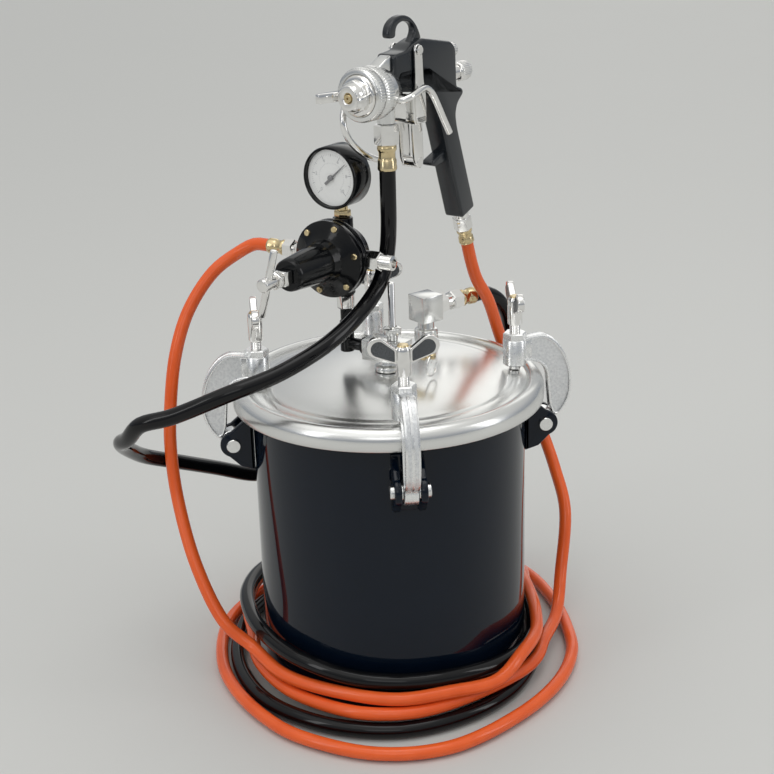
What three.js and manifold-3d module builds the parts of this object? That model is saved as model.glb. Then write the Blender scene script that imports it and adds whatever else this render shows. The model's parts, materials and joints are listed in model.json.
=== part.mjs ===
// Pressure feed pot: a clamped 10 litre vessel with regulator, gauge, agitator, spray gun and two hoses.
// Millimetres, +Z up. The origin is the centre of the pot's flat bottom; the front clamp is at -Y.
import * as THREE from "three";
import { mergeVertices } from "three/addons/utils/BufferGeometryUtils.js";
import Module from "manifold-3d";

const wasm = await Module();
wasm.setup();

// ---- driving dimensions ----
const GAP = 0.3; // between faces that touch
const TANK = { radius: 125, wall: 2.5, corner: 14, rim: 274, lip: 130 };
const LID = { skirt: 265, radius: 142.5, ring: 281.5, crown: 288.5, domeEdge: 114, rimStart: 127 };
const LID_SHEET = 2.2;
const CLAMP = { pinR: 144, pinZ: 230.5, screwR: 118, width: 13, eye: 11.5 };
const BOSS = { radius: 11, low: 286.4, top: 311 };
const PIN = { radius: 4.9, head: 6.6, half: 17.5 };
const EAR = { inside: 8, outside: 14 };
const SCREW = { rod: 5, sleeve: 6.75, sleeveLow: 325, top: 349.5 };
const WING = { reach: 22, round: 8.5, thick: 6, low: 335, middle: 350.5 };
const BLOCK = { length: 40, width: 24, low: 299, top: 318, turn: -37 };
const SHAFT = { radius: 3.2, offset: 6, low: 34, top: 372 };
const OUTLET = { x: 48, y: 84, block: 24, low: 307, top: 333, turn: 30, axisZ: 320 };
const REG = { x: -46.5, y: 9.7, z: 394, turn: 40, flange: 35, portBack: 20, sideBack: 10 };
const GAUGE = { z: 465.5, radius: 28, back: -9, front: 19, recess: 13.5 };
const GUN = { x: 4.5, y: -3, z: 543, turn: 43 };
const FLUID_HOSE = 7.25;
const AIR_HOSE = 6;

// ---- colours ----
const PAINT = { color: 0x10141c, roughness: 0.16, metalness: 0.1 };
const STEEL = { color: 0xb9b9b6, roughness: 0.36, metalness: 1 };
const CAST = { color: 0xc2c4c3, roughness: 0.5, metalness: 0.9 };
const CHROME = { color: 0xd5d5d3, roughness: 0.12, metalness: 1 };
const BRASS = { color: 0xc2a262, roughness: 0.28, metalness: 1 };
const BLACK = { color: 0x15171a, roughness: 0.35, metalness: 0 };
const RUBBER = { color: 0x101013, roughness: 0.3, metalness: 0 };
const ORANGE = { color: 0xe2512c, roughness: 0.3, metalness: 0 };
const WHITE = { color: 0xeeeeea, roughness: 0.5, metalness: 0 };

// ---- solids ----
const V = (x, y, z) => new THREE.Vector3(x, y, z);
const degrees = THREE.MathUtils.degToRad;

function solid(geometry) {
  const bare = geometry.index ? geometry.toNonIndexed() : geometry.clone();
  bare.deleteAttribute("normal");
  bare.deleteAttribute("uv");
  const merged = mergeVertices(bare, 1e-3);
  const vertProperties = new Float32Array(merged.attributes.position.array);
  const triVerts = new Uint32Array(merged.index.array);
  const made = new wasm.Manifold(new wasm.Mesh({ numProp: 3, vertProperties, triVerts }));
  if (made.volume() > 0) return made;
  return new wasm.Manifold(new wasm.Mesh({ numProp: 3, vertProperties, triVerts: triVerts.reverse() }));
}

function geometryOf(body) {
  const mesh = body.getMesh();
  const geometry = new THREE.BufferGeometry();
  geometry.setAttribute("position", new THREE.BufferAttribute(new Float32Array(mesh.vertProperties), 3));
  geometry.setIndex(new THREE.BufferAttribute(new Uint32Array(mesh.triVerts), 1));
  return geometry;
}

const join = (...bodies) => bodies.reduce((sum, next) => sum.add(next));
const cut = (body, ...tools) => tools.reduce((rest, tool) => rest.subtract(tool), body);

// A frame whose local Z is "axis", with local X as near "side" as it can be.
function frameAt(origin, axis, side = V(0, 0, 1)) {
  const z = axis.clone().normalize();
  const near = Math.abs(z.dot(side)) > 0.99 ? V(1, 0, 0) : side;
  const y = z.clone().cross(near).normalize();
  const x = y.clone().cross(z);
  return new THREE.Matrix4().makeBasis(x, y, z).setPosition(origin);
}

// A closed profile of [radius, height] points turned about local Z.
function turned(profile, frame = new THREE.Matrix4(), segments = 24) {
  const points = profile.map(([r, z]) => new THREE.Vector2(r, z));
  return solid(new THREE.LatheGeometry(points, segments).rotateX(Math.PI / 2).applyMatrix4(frame));
}

function rod(from, to, radius, sides = 16, farRadius = radius) {
  const along = to.clone().sub(from);
  const profile = [[0, 0], [radius, 0], [farRadius, along.length()], [0, along.length()]];
  return turned(profile, frameAt(from, along), sides);
}

const hexagon = (from, to, flats) => rod(from, to, flats / Math.sqrt(3), 6);

// A vertical tube or disc at x, y.
function post(x, y, low, high, radius, sides = 24) {
  return rod(V(x, y, low), V(x, y, high), radius, sides);
}

// An outline in local X, Y, extruded from "low" to "high" along local Z.
function plate(outline, low, high, frame = new THREE.Matrix4(), bevel = 0) {
  const shape = new THREE.Shape(outline.map(([x, y]) => new THREE.Vector2(x, y)));
  const options = { depth: high - low - 2 * bevel, bevelEnabled: bevel > 0, bevelSize: bevel };
  Object.assign(options, { bevelOffset: -bevel, bevelThickness: bevel, bevelSegments: 1, curveSegments: 1 });
  return solid(new THREE.ExtrudeGeometry(shape, options).translate(0, 0, low + bevel).applyMatrix4(frame));
}

function box(width, depth, height, centre, turn = 0) {
  const geometry = new THREE.BoxGeometry(width, depth, height).rotateZ(degrees(turn));
  return solid(geometry.translate(centre.x, centre.y, centre.z));
}

// A round bar along a smooth curve through points.
function wire(points, radius, sides, steps) {
  const section = new THREE.Shape();
  for (let i = 0; i < sides; i += 1) {
    const angle = (2 * Math.PI * i) / sides;
    const corner = [radius * Math.cos(angle), radius * Math.sin(angle)];
    if (i === 0) section.moveTo(...corner);
    else section.lineTo(...corner);
  }
  section.closePath();
  const extrudePath = new THREE.CatmullRomCurve3(points, false, "centripetal");
  return solid(new THREE.ExtrudeGeometry(section, { steps, extrudePath, curveSegments: 1 }));
}

const root = new THREE.Group();

function add(name, body, look) {
  const mesh = new THREE.Mesh(geometryOf(body), new THREE.MeshStandardMaterial(look));
  mesh.name = name;
  root.add(mesh);
}

// ---- the pot ----
function arc(cx, cy, radius, from, to, steps) {
  return Array.from({ length: steps + 1 }, (_, i) => {
    const angle = degrees(from + ((to - from) * i) / steps);
    return [cx + radius * Math.cos(angle), cy + radius * Math.sin(angle)];
  });
}

// Frames of the four clamps: local X points out from the pot's axis, local Y is up.
const SIDES = { front: -90, right: 0, back: 90, left: 180 };
function clampFrame(side) {
  const angle = degrees(SIDES[side]);
  const out = V(Math.cos(angle), Math.sin(angle), 0);
  const across = out.clone().cross(V(0, 0, 1));
  return new THREE.Matrix4().makeBasis(out, V(0, 0, 1), across);
}
const inClamp = (side, out, up, across) => V(out, up, across).applyMatrix4(clampFrame(side));

function lug(side) {
  const { pinR, pinZ } = CLAMP;
  const root = TANK.radius + GAP;
  const eye = arc(pinR, pinZ, 12, -70, 80, 7);
  const outline = [[root, 205], [138, 209], ...eye, [root, 260]];
  const frame = clampFrame(side);
  const ears = [1, -1].map((s) => {
    const faces = [s * EAR.inside, s * EAR.outside].sort((a, b) => a - b);
    return plate(outline, faces[0], faces[1], frame);
  });
  const web = plate([[root, 205], [129, 207], [129, 258], [root, 260]], -EAR.outside, EAR.outside, frame);
  return join(web, ...ears, pivotPin(side));
}

function tank() {
  const { radius, wall, corner, rim, lip } = TANK;
  const outside = arc(radius - corner, corner, corner, -90, 0, 4);
  const inside = arc(radius - corner, corner, corner - wall, 0, -90, 3);
  const edge = [[radius, rim - 5], [lip, rim - 4], [lip, rim], [radius - wall, rim]];
  return turned([[0, 0], ...outside, ...edge, ...inside, [0, wall]], undefined, 40);
}

function lid() {
  const { skirt, radius, ring, crown, domeEdge, rimStart } = LID;
  const sheet = LID_SHEET;
  const rise = crown - ring;
  const dome = (r) => ring + rise * Math.cos((r / domeEdge) * (Math.PI / 2)) ** 0.8;
  const stations = [0, 0.45, 0.75].map((t) => t * domeEdge);
  const top = stations.map((r) => [r, dome(r)]);
  const under = stations.map((r) => [r, dome(r) - sheet]).reverse();
  const rim = [[rimStart, ring], [rimStart + 1, ring - 0.7], [129, 282.4], [131.5, 283.7], [134.5, 283.9]];
  const fall = [[138, 282], [141, 278], [radius, 272.5], [radius, skirt]];
  const back = [[radius - sheet, skirt], [radius - sheet, 272], [137.8, 278], [134, 280.6], [131, 279.2]];
  const flat = [[rimStart - 1, ring - sheet], [domeEdge, ring - sheet]];
  const outline = [...top, [domeEdge, ring], ...rim, ...fall, ...back, ...flat, ...under];
  const shell = turned(outline, undefined, 40);
  const offset = shaftPlace();
  const shaftHole = post(offset.x, offset.y, 270, 300, SHAFT.radius + 1, 12);
  return cut(shell, shaftHole, post(OUTLET.x, OUTLET.y, 270, 300, 7.3, 12));
}

function shaftPlace() {
  const turn = degrees(BLOCK.turn);
  return V(SHAFT.offset * Math.cos(turn), SHAFT.offset * Math.sin(turn), 0);
}

add("tank", tank(), PAINT);
add("lid", lid(), STEEL);
const SEAL_LOW = TANK.rim + GAP;
const SEAL = [[121.5, SEAL_LOW], [130, SEAL_LOW], [130, 279], [121.5, 279], [121.5, SEAL_LOW]];
add("gasket", turned(SEAL, undefined, 40), RUBBER);

// ---- clamps ----
function pivotPin(side) {
  const at = (across) => inClamp(side, CLAMP.pinR, CLAMP.pinZ, across);
  const heads = [1, -1].map((s) => rod(at(s * (EAR.outside - 1)), at(s * PIN.half), PIN.head, 14));
  return join(rod(at(-PIN.half), at(PIN.half), PIN.radius, 14), ...heads);
}

const ARM_OUTSIDE = [[125, 311], [143, 314.5], [156, 306], [166, 289], [170, 268], [167.5, 250], [157, 234]];
const ARM_INSIDE = [
  [149.5, 246], [148.5, 256], [147.5, 268], [147, 277], [144, 284], [138, 288.5], [125, 290],
];
const POCKET = [
  [131, 306.5], [143, 309.5], [153.5, 302.5], [162.5, 287.5], [166.2, 268], [163.8, 252.5], [157.5, 244],
  [153.5, 250], [152, 258], [151, 268], [150.5, 278], [147.5, 286.5], [141, 292], [131, 293.5],
];

function clampArm(side) {
  const { pinR, pinZ, screwR, width } = CLAMP;
  const frame = clampFrame(side);
  const half = width / 2;
  const web = 4.5;
  const bow = plate([...ARM_OUTSIDE, [151, 228], [140, 236], ...ARM_INSIDE], -half, half, frame);
  const eye = rod(inClamp(side, pinR, pinZ, -half), inClamp(side, pinR, pinZ, half), CLAMP.eye, 14);
  const boss = rod(inClamp(side, screwR, BOSS.low, 0), inClamp(side, screwR, BOSS.top, 0), BOSS.radius, 14);
  const collar = hexagon(inClamp(side, screwR, BOSS.top - 1, 0), inClamp(side, screwR, 317, 0), 19);
  const pockets = [plate(POCKET, web, half + 1, frame), plate(POCKET, -half - 1, -web, frame)];
  const pinBore = rod(inClamp(side, pinR, pinZ, -20), inClamp(side, pinR, pinZ, 20), PIN.radius + GAP);
  const screwBore = rod(inClamp(side, screwR, 270, 0), inClamp(side, screwR, 330, 0), SCREW.rod + 0.5);
  return cut(join(cut(bow, ...pockets), eye, boss, collar), pinBore, screwBore);
}

function wingScrew(side) {
  const { rod: thread, sleeve, sleeveLow, top } = SCREW;
  const at = (height, across = 0) => inClamp(side, CLAMP.screwR, height, across);
  const stem = rod(at(BOSS.low + GAP), at(sleeveLow + 1), thread);
  const barrel = rod(at(sleeveLow), at(top), sleeve, 14);
  const cap = rod(at(top - 1), at(top + 2.5), 5.2, 12);
  const angle = degrees(SIDES[side]);
  const out = V(Math.cos(angle), Math.sin(angle), 0);
  const across = V(0, 0, 1).cross(out);
  const wings = [1, -1].map((s) => {
    const away = across.clone().multiplyScalar(s);
    const face = out.clone().multiplyScalar(s);
    const flat = new THREE.Matrix4().makeBasis(away, V(0, 0, 1), face).setPosition(at(0));
    const lobe = arc(WING.reach, WING.middle, WING.round, -65, 115, 7);
    const half = WING.thick / 2;
    return plate([[thread, WING.low], ...lobe, [thread, WING.middle - 3]], -half, half, flat);
  });
  return join(stem, barrel, cap, ...wings);
}

function clampFoot(side) {
  const low = LID.ring + GAP;
  return rod(inClamp(side, CLAMP.screwR, low, 0), inClamp(side, CLAMP.screwR, BOSS.low, 0), 5.2, 16);
}

for (const side of Object.keys(SIDES)) {
  add(`lug_${side}`, lug(side), PAINT);
  add(`arm_${side}`, clampArm(side), CAST);
  add(`screw_${side}`, wingScrew(side), CHROME);
  add(`foot_${side}`, clampFoot(side), STEEL);
}
// ---- fittings on the lid ----
const blockTurn = degrees(BLOCK.turn);
const alongBlock = V(Math.cos(blockTurn), Math.sin(blockTurn), 0);
const blockMiddle = (BLOCK.low + BLOCK.top) / 2;
const shaftAt = shaftPlace();

function manifold() {
  const bossPlate = post(0, 0, LID.crown + GAP, 294, 12, 28);
  const neck = post(0, 0, 293, BLOCK.low + 1, 7.5, 20);
  const block = box(BLOCK.length, BLOCK.width, BLOCK.top - BLOCK.low, V(0, 0, blockMiddle), BLOCK.turn);
  const bore = post(shaftAt.x, shaftAt.y, 280, 330, SHAFT.radius + 1, 12);
  return cut(join(bossPlate, neck, block), bore);
}

function glandNut() {
  const low = BLOCK.top + GAP;
  const inside = [[4.3, 331], [4.3, low]];
  const profile = [[4.3, low], [5, low], [5, 324], [8.2, 324], [8.2, 329.5], [5, 331], ...inside];
  return turned(profile, new THREE.Matrix4().makeTranslation(shaftAt.x, shaftAt.y, 0), 20);
}

add("manifold", manifold(), STEEL);
add("gland_nut", glandNut(), STEEL);
add("agitator_shaft", post(shaftAt.x, shaftAt.y, SHAFT.low, SHAFT.top, SHAFT.radius, 14), CHROME);

function paddle() {
  const middle = V(shaftAt.x, shaftAt.y, 48);
  const hub = post(shaftAt.x, shaftAt.y, 38, 58, 9, 16);
  const blades = [0, 90].map((turn) => box(110, 3, 16, middle, turn));
  return cut(join(hub, ...blades), post(shaftAt.x, shaftAt.y, 30, 70, SHAFT.radius + GAP, 14));
}
add("agitator_paddle", paddle(), STEEL);

// The regulator's upright ports stand behind its flange, in line with the riser and the gauge.
const portX = REG.x + REG.portBack * Math.sin(degrees(REG.turn));
const portY = REG.y + REG.portBack * Math.cos(degrees(REG.turn));

function riser() {
  const low = V(portX, portY, blockMiddle);
  const start = alongBlock.clone().multiplyScalar(-(BLOCK.length / 2 + GAP)).setZ(blockMiddle);
  const out = low.clone().sub(start).normalize();
  const ring = start.clone().addScaledVector(out, 5);
  const nutTop = V(portX, portY, 356);
  return join(
    rod(start, low, 5.5, 16),
    rod(start, ring, 8, 16),
    post(portX, portY, blockMiddle - 7, 330, 6.5, 16),
    post(portX, portY, 329, 346, 5.5, 16),
    hexagon(V(portX, portY, 342), nutTop, 14),
  );
}
add("riser", riser(), STEEL);

// ---- safety relief valve ----
const reliefAt = (distance, z = blockMiddle) => alongBlock.clone().multiplyScalar(distance).setZ(z);
const RELIEF = { face: BLOCK.length / 2 + GAP, hexEnd: 30, end: 40, stemEnd: 49, stem: 1.6 };
const PULL_RING = { at: 46, radius: 9.3, bar: 0.9 };

function reliefValve() {
  const body = join(
    hexagon(reliefAt(RELIEF.face), reliefAt(RELIEF.hexEnd), 12.5),
    rod(reliefAt(RELIEF.hexEnd - 1), reliefAt(RELIEF.end), 5, 16),
  );
  return cut(body, rod(reliefAt(RELIEF.hexEnd), reliefAt(RELIEF.end + 1), RELIEF.stem + GAP, 12));
}

function reliefStem() {
  const stem = rod(reliefAt(RELIEF.hexEnd + 2), reliefAt(RELIEF.stemEnd), RELIEF.stem, 12);
  const head = rod(reliefAt(RELIEF.end + GAP), reliefAt(RELIEF.stemEnd), 3, 12);
  const across = V(0, 0, 1).cross(alongBlock).multiplyScalar(6);
  const hole = reliefAt(PULL_RING.at);
  return cut(join(stem, head), rod(hole.clone().sub(across), hole.clone().add(across), 1.5, 8));
}

function pullRing() {
  const centre = reliefAt(PULL_RING.at, blockMiddle - PULL_RING.radius + GAP);
  const section = arc(PULL_RING.radius, 0, PULL_RING.bar, 0, 360, 6);
  return turned(section, frameAt(centre, alongBlock), 20);
}
add("relief_valve", reliefValve(), BRASS);
add("relief_stem", reliefStem(), BRASS);
add("relief_ring", pullRing(), CHROME);

// ---- fluid outlet ----
const outletTurn = degrees(OUTLET.turn);
const outletWay = V(Math.cos(outletTurn), Math.sin(outletTurn), 0);
const outletAt = (distance) => V(OUTLET.x, OUTLET.y, OUTLET.axisZ).addScaledVector(outletWay, distance);
const OUTLET_FERRULE = [42.5, 59.5];

function outletElbow() {
  const { x, y, block, low, top, turn } = OUTLET;
  const seat = 286.5;
  const collar = post(x, y, seat, 299, 11.5, 24);
  const neck = post(x, y, 298, low + 1, 8, 20);
  const head = box(block, block, top - low, V(x, y, (low + top) / 2), turn);
  return cut(join(collar, neck, head), post(x, y, 280, 300, 6 + GAP, 14));
}

function outletNut() {
  return join(
    hexagon(outletAt(OUTLET.block / 2 + GAP), outletAt(23), 18),
    rod(outletAt(22), outletAt(31), 6.5, 14),
    hexagon(outletAt(30), outletAt(OUTLET_FERRULE[0] - GAP), 17),
  );
}

function dipTube() {
  const profile = [[4.5, 8], [6, 12], [6, 299.5], [4.5, 299.5], [4.5, 8]];
  return turned(profile, new THREE.Matrix4().makeTranslation(OUTLET.x, OUTLET.y, 0), 14);
}

const ferrule = (from, to, radius) => rod(from, to, radius, 16);
add("outlet_elbow", outletElbow(), STEEL);
add("dip_tube", dipTube(), STEEL);
add("outlet_nut", outletNut(), CHROME);
add("outlet_ferrule", ferrule(outletAt(OUTLET_FERRULE[0]), outletAt(OUTLET_FERRULE[1]), 8.3), BRASS);

// ---- regulator and gauge ----
const regTurn = degrees(REG.turn);
const regFront = V(-Math.sin(regTurn), -Math.cos(regTurn), 0);
const regRight = V(Math.cos(regTurn), -Math.sin(regTurn), 0);
const regAt = (front, right = 0, up = 0) =>
  V(REG.x, REG.y, REG.z + up).addScaledVector(regFront, front).addScaledVector(regRight, right);
const regFrame = frameAt(regAt(0), regFront);
const sidePort = (right) => regAt(-REG.sideBack, right);
const SIDE_BOSS = 36;
const TOP_BOSS = 33;

function regulatorBody() {
  const back = [[0, -34], [17, -34], [24, -26], [26, -8], [REG.flange, -7], [REG.flange, -GAP], [0, -GAP]];
  const ports = [
    rod(sidePort(0), sidePort(SIDE_BOSS), 8.5, 14),
    rod(sidePort(0), sidePort(-SIDE_BOSS), 8.5, 14),
    rod(regAt(-REG.portBack), regAt(-REG.portBack, 0, TOP_BOSS), 9.5, 14),
    rod(regAt(-REG.portBack), regAt(-REG.portBack, 0, -37.5), 9, 14),
  ];
  return join(turned(back, regFrame, 22), ...ports);
}

function bonnet() {
  const cone = [[26, 8], [20, 12], [17.5, 20], [16, 45], [14.5, 62], [14, 66]];
  const inside = [[5.4, 66], [5.4, 58], [11, 58], [13, 20], [15, 6], [15, 0], [REG.flange, 0]];
  return turned([[REG.flange, 0], [REG.flange, 6], ...cone, ...inside], regFrame, 20);
}

function regulatorHandle() {
  const hub = rod(regAt(86), regAt(102), 6, 16);
  const screw = rod(regAt(52), regAt(88), 4.6, 14);
  const nut = rod(regAt(79), regAt(85), 8.5, 6);
  const square = rod(regAt(67), regAt(77.5), 9, 4);
  const bar = rod(regAt(93.5, 8.6, 30), regAt(93.5, -8.6, -30), 3.2, 10);
  return join(hub, screw, nut, square, bar);
}

add("regulator_body", regulatorBody(), BLACK);
add("bonnet", bonnet(), BLACK);
add("regulator_handle", regulatorHandle(), CHROME);
add("spring_button", rod(regAt(46), regAt(52 - GAP), 10, 16), STEEL);

function nipple() {
  const hex = hexagon(sidePort(SIDE_BOSS + GAP), sidePort(47), 15.5);
  const thread = rod(sidePort(46), sidePort(60), 6.6, 14);
  return cut(join(hex, thread), rod(sidePort(50), sidePort(62), 4, 10));
}

const AIR_OUT = { near: 43, waist: 46.5, nut: 57.5, ferrule: 76 };
function airOutNut() {
  const near = hexagon(sidePort(-SIDE_BOSS - GAP), sidePort(-AIR_OUT.near), 15);
  const waist = rod(sidePort(1 - AIR_OUT.near), sidePort(-1 - AIR_OUT.waist), 6, 12);
  return join(near, waist, hexagon(sidePort(-AIR_OUT.waist), sidePort(-AIR_OUT.nut), 15.5));
}
add("nipple", nipple(), CHROME);
add("air_out_nut", airOutNut(), CHROME);
add("air_out_ferrule", ferrule(sidePort(-AIR_OUT.nut - GAP), sidePort(-AIR_OUT.ferrule), 7.2), BRASS);

const gaugeAt = (front) => V(portX, portY, GAUGE.z).addScaledVector(regFront, front);
const gaugeFrame = frameAt(gaugeAt(0), regFront);
function gaugeCase() {
  const { radius, back, front } = GAUGE;
  const shell = [[0, back], [radius - 3, back], [radius, back + 3], [radius, front], [radius - 2.5, front]];
  return turned([...shell, [radius - 2.5, GAUGE.recess], [0, GAUGE.recess]], gaugeFrame, 26);
}
function gaugeStem() {
  const top = GAUGE.z - GAUGE.radius - GAP;
  const hex = hexagon(V(portX, portY, REG.z + TOP_BOSS + GAP), V(portX, portY, 434), 13);
  return join(hex, post(portX, portY, 433, top, 5, 14));
}
function needle() {
  const side = regRight;
  const frame = new THREE.Matrix4().makeBasis(side, V(0, 0, 1), regFront.clone()).setPosition(gaugeAt(0));
  const pointer = [[-7, -5.5], [-5, -7.5], [14.5, 11.9], [14, 12.6]];
  return join(plate(pointer, 16, 17, frame), rod(gaugeAt(16), gaugeAt(18), 2.6, 12));
}
add("gauge_case", gaugeCase(), BLACK);
add("gauge_stem", gaugeStem(), BRASS);
add("gauge_dial", rod(gaugeAt(GAUGE.recess + GAP), gaugeAt(15), GAUGE.radius - 2.8, 32), WHITE);
add("gauge_needle", needle(), BLACK);

// ---- spray gun: local "ahead" points to the nozzle, "side" to its right flank, "up" to the hook ----
const gunTurn = degrees(GUN.turn);
const gunAhead = V(-Math.sin(gunTurn), -Math.cos(gunTurn), 0);
const gunSide = V(Math.cos(gunTurn), -Math.sin(gunTurn), 0);
const inGun = (ahead, up = 0, side = 0) =>
  V(GUN.x, GUN.y, GUN.z + up).addScaledVector(gunAhead, ahead).addScaledVector(gunSide, side);
const flankOut = gunSide.clone().negate();
const gunFlank = new THREE.Matrix4().makeBasis(gunAhead, V(0, 0, 1), flankOut).setPosition(inGun(0));
const barrel = (ahead, up = 0) => frameAt(inGun(ahead, up), gunAhead);
const PIVOT = { ahead: -31.5, up: 30, radius: 2.6 };
const pivotAt = (side) => inGun(PIVOT.ahead, PIVOT.up, side);
const pivotBore = () => rod(pivotAt(-20), pivotAt(20), PIVOT.radius, 12);
const LEG = { inside: 11, outside: 13.6 };
const NEEDLE = 1.5;

const BODY = [
  [-2, 29], [-2, -5], [-9, -4], [-9, 11], [-44, 11], [-54, 9], [-57, -5], [-65, -25], [-73, -45],
  [-102.5, -133.7], [-123.5, -126.4], [-96, -46], [-94, -35], [-97, -26], [-107, -18], [-105.5, -13],
  [-96, -10.5], [-95, 24], [-88, 30.5], [-44, 38.5], [-30, 35], [-20, 30.5],
];
const HOOK = [
  [-2, 42], [-2.2, 49], [-6, 55], [-14, 59], [-24, 60.2], [-34, 57.5], [-43, 50.5], [-49, 41], [-50, 35],
  [-48, 30], [-26, 30], [-33.5, 35], [-39.5, 41.5], [-41, 46.5], [-38, 51], [-31, 54], [-23, 54.8],
  [-15.5, 52.5], [-12.6, 48], [-12.4, 42],
];
const TANG = [[-84, -65], [-62, -72.5], [-60, -76], [-66, -78.5], [-86, -76]];

function gunBody() {
  const shell = join(
    plate(BODY, -10, 10, gunFlank, 2.4),
    plate(HOOK, -3.8, 3.8, gunFlank, 0.9),
    plate(TANG, -6, 6, gunFlank, 1),
  );
  const needleBore = rod(inGun(-50), inGun(-100), NEEDLE + GAP, 10);
  const nutBore = rod(inGun(2), inGun(-12), 5.5, 16);
  const valveBore = rod(inGun(-50, -14), inGun(-88, -14), 3 + GAP, 12);
  const inletBore = rod(inGun(-113, -134), inGun(-106.5, -115), 4, 12);
  return cut(shell, needleBore, nutBore, valveBore, pivotBore(), inletBore);
}

// The chrome rest rod passes crosswise through the head and bends down on both sides.
const REST = {
  radius: 3,
  from: [8, -6.5, 30],
  to: [8, -6.5, -30],
  path: [
    [-66, -46, 21], [-56, -31, 21], [-47, -17, 21], [-38, -6, 21.5], [-28, -1, 22.5], [-12, -1, 27],
    [2, -4, 28], [8, -6.5, 23], [8, -6.5, 12], [8, -6.5, 0], [8, -6.5, -12], [8, -6.5, -24],
    [13, -8, -29], [20, -12.5, -28], [25.5, -20, -26.5], [27.3, -30, -25], [23, -41, -23.3],
    [12.6, -51.9, -21], [2.2, -58.9, -19], [-8, -63.5, -17.5],
  ],
};
function gunHead() {
  const back = -2 + GAP;
  const shell = [[0, back], [16, back], [20, 8], [21, 16], [18, 16], [18, 22], [0, 22]];
  const fin = [[back, -5], [back, 29], [4, 27], [16, 21], [16, 0]];
  const nut = hexagon(inGun(-9 - GAP), inGun(-17), 12);
  const neck = rod(inGun(0, -29), inGun(0, -10), 8, 18);
  const needleBore = rod(inGun(-30), inGun(40), NEEDLE + GAP, 10);
  const stem = rod(inGun(-14), inGun(0), 5.2, 16);
  const fluidBore = rod(inGun(0, -31), inGun(0, -19), 4, 12);
  const restHole = rod(inGun(...REST.from), inGun(...REST.to), REST.radius + 1, 12);
  const casting = join(turned(shell, barrel(0), 22), plate(fin, -6, 6, gunFlank), nut, neck, stem);
  return cut(casting, needleBore, fluidBore, restHole);
}

function retainingRing() {
  const low = 16 + GAP;
  const inside = [[18.2, 38], [18.2, 22 + GAP], [19, 22 + GAP], [19, low]];
  const profile = [[19, low], [23, low], [23, 36], [21.5, 38], ...inside];
  return turned(profile, barrel(0), 24);
}

function airCap() {
  const disc = rod(inGun(24), inGun(41), 17.5, 24);
  const octagon = rod(inGun(40), inGun(46), 14.5, 8);
  const hub = rod(inGun(45), inGun(53), 12.5, 20, 10.5);
  const level = new THREE.Matrix4().makeBasis(gunAhead, gunSide, gunAhead.clone().cross(gunSide));
  level.setPosition(inGun(0));
  const horns = [1, -1].map((s) => {
    const tip = [[64, s * 18], [66, s * 20], [66, s * 23.5], [62, s * 23.5]];
    return plate([[41, s * 9.5], ...tip, [41, s * 16.5]], -4, 4, level);
  });
  return cut(join(disc, octagon, hub, ...horns), rod(inGun(20), inGun(60), 3.8, 16));
}

function fluidNozzle() {
  const nozzle = join(rod(inGun(22 + GAP), inGun(46), 3.4, 14), rod(inGun(45), inGun(53.8), 3.4, 14, 2));
  return cut(nozzle, rod(inGun(20), inGun(52.5), NEEDLE + GAP, 10, 0.9), rod(inGun(50), inGun(56), 0.9, 8));
}

function trigger() {
  const upper = [
    [-36.5, 30], [-35, 34], [-31.5, 35.5], [-28, 34], [-26.5, 30], [-27, 24], [-26.5, -10], [-27.5, -32],
    [-42, -34], [-42, -20], [-41.5, -8], [-38.5, 4], [-37.5, 24],
  ];
  const lower = [[-27.2, -28], [-30, -66], [-33, -72], [-40, -73.5], [-43.5, -69], [-42.5, -34], [-41, -28]];
  const face = [[-26.6, -7], [-24.4, -9], [-25.4, -30], [-27.4, -34], [-31, -34], [-28.6, -9]];
  const pair = (outline, low, high) =>
    [1, -1].map((s) => plate(outline, Math.min(s * low, s * high), Math.max(s * low, s * high), gunFlank));
  const legs = [...pair(upper, LEG.inside, LEG.outside), ...pair(lower, 5.5, 8.5)];
  const shoulders = pair([[-26.6, -27], [-27.5, -33], [-42, -33], [-41.5, -27]], 5.5, LEG.outside);
  const bar = rod(inGun(-37.5, -69, -9), inGun(-37.5, -69, 9), 5, 12);
  return cut(join(...legs, ...shoulders, plate(face, -12, 12, gunFlank), bar), pivotBore());
}

function triggerPin() {
  const end = 16;
  const shaft = rod(pivotAt(-end), pivotAt(end), PIVOT.radius - GAP, 12);
  const heads = [1, -1].map((s) => rod(pivotAt(s * (LEG.outside + GAP)), pivotAt(s * end), 4.2, 14));
  return join(shaft, ...heads);
}

add("gun_body", gunBody(), PAINT);
add("gun_head", gunHead(), STEEL);
add("retaining_ring", retainingRing(), STEEL);
add("air_cap", airCap(), CHROME);
add("fluid_nozzle", fluidNozzle(), BRASS);
add("trigger", trigger(), CHROME);
add("trigger_pin", triggerPin(), CHROME);
add("fluid_needle", rod(inGun(-92), inGun(50), NEEDLE, 10, 0.6), STEEL);
add("air_valve_stem", rod(inGun(-42, -14), inGun(-78, -14), 3, 12), STEEL);
const FLUID_KNOB = [[0, -126], [6, -126], [9, -123], [9, -110], [6.3, -108], [6.3, -98], [0, -98]];
const PATTERN_KNOB = { up: 21, from: -104, to: -96, radius: 6.5 };
add("fluid_knob", turned(FLUID_KNOB, barrel(0), 16), CHROME);
const patternEnds = [PATTERN_KNOB.from, PATTERN_KNOB.to].map((ahead) => inGun(ahead, PATTERN_KNOB.up));
add("pattern_knob", rod(...patternEnds, PATTERN_KNOB.radius, 16), CHROME);
add("rest_wire", wire(REST.path.map((p) => inGun(...p)), REST.radius, 8, 34), CHROME);
add("gun_fluid_nut", hexagon(inGun(0, -29 - GAP), inGun(0, -47.5), 19), CHROME);
add("gun_fluid_ferrule", ferrule(inGun(0, -47.5 - GAP), inGun(0, -69.5), 8.6), BRASS);

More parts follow.
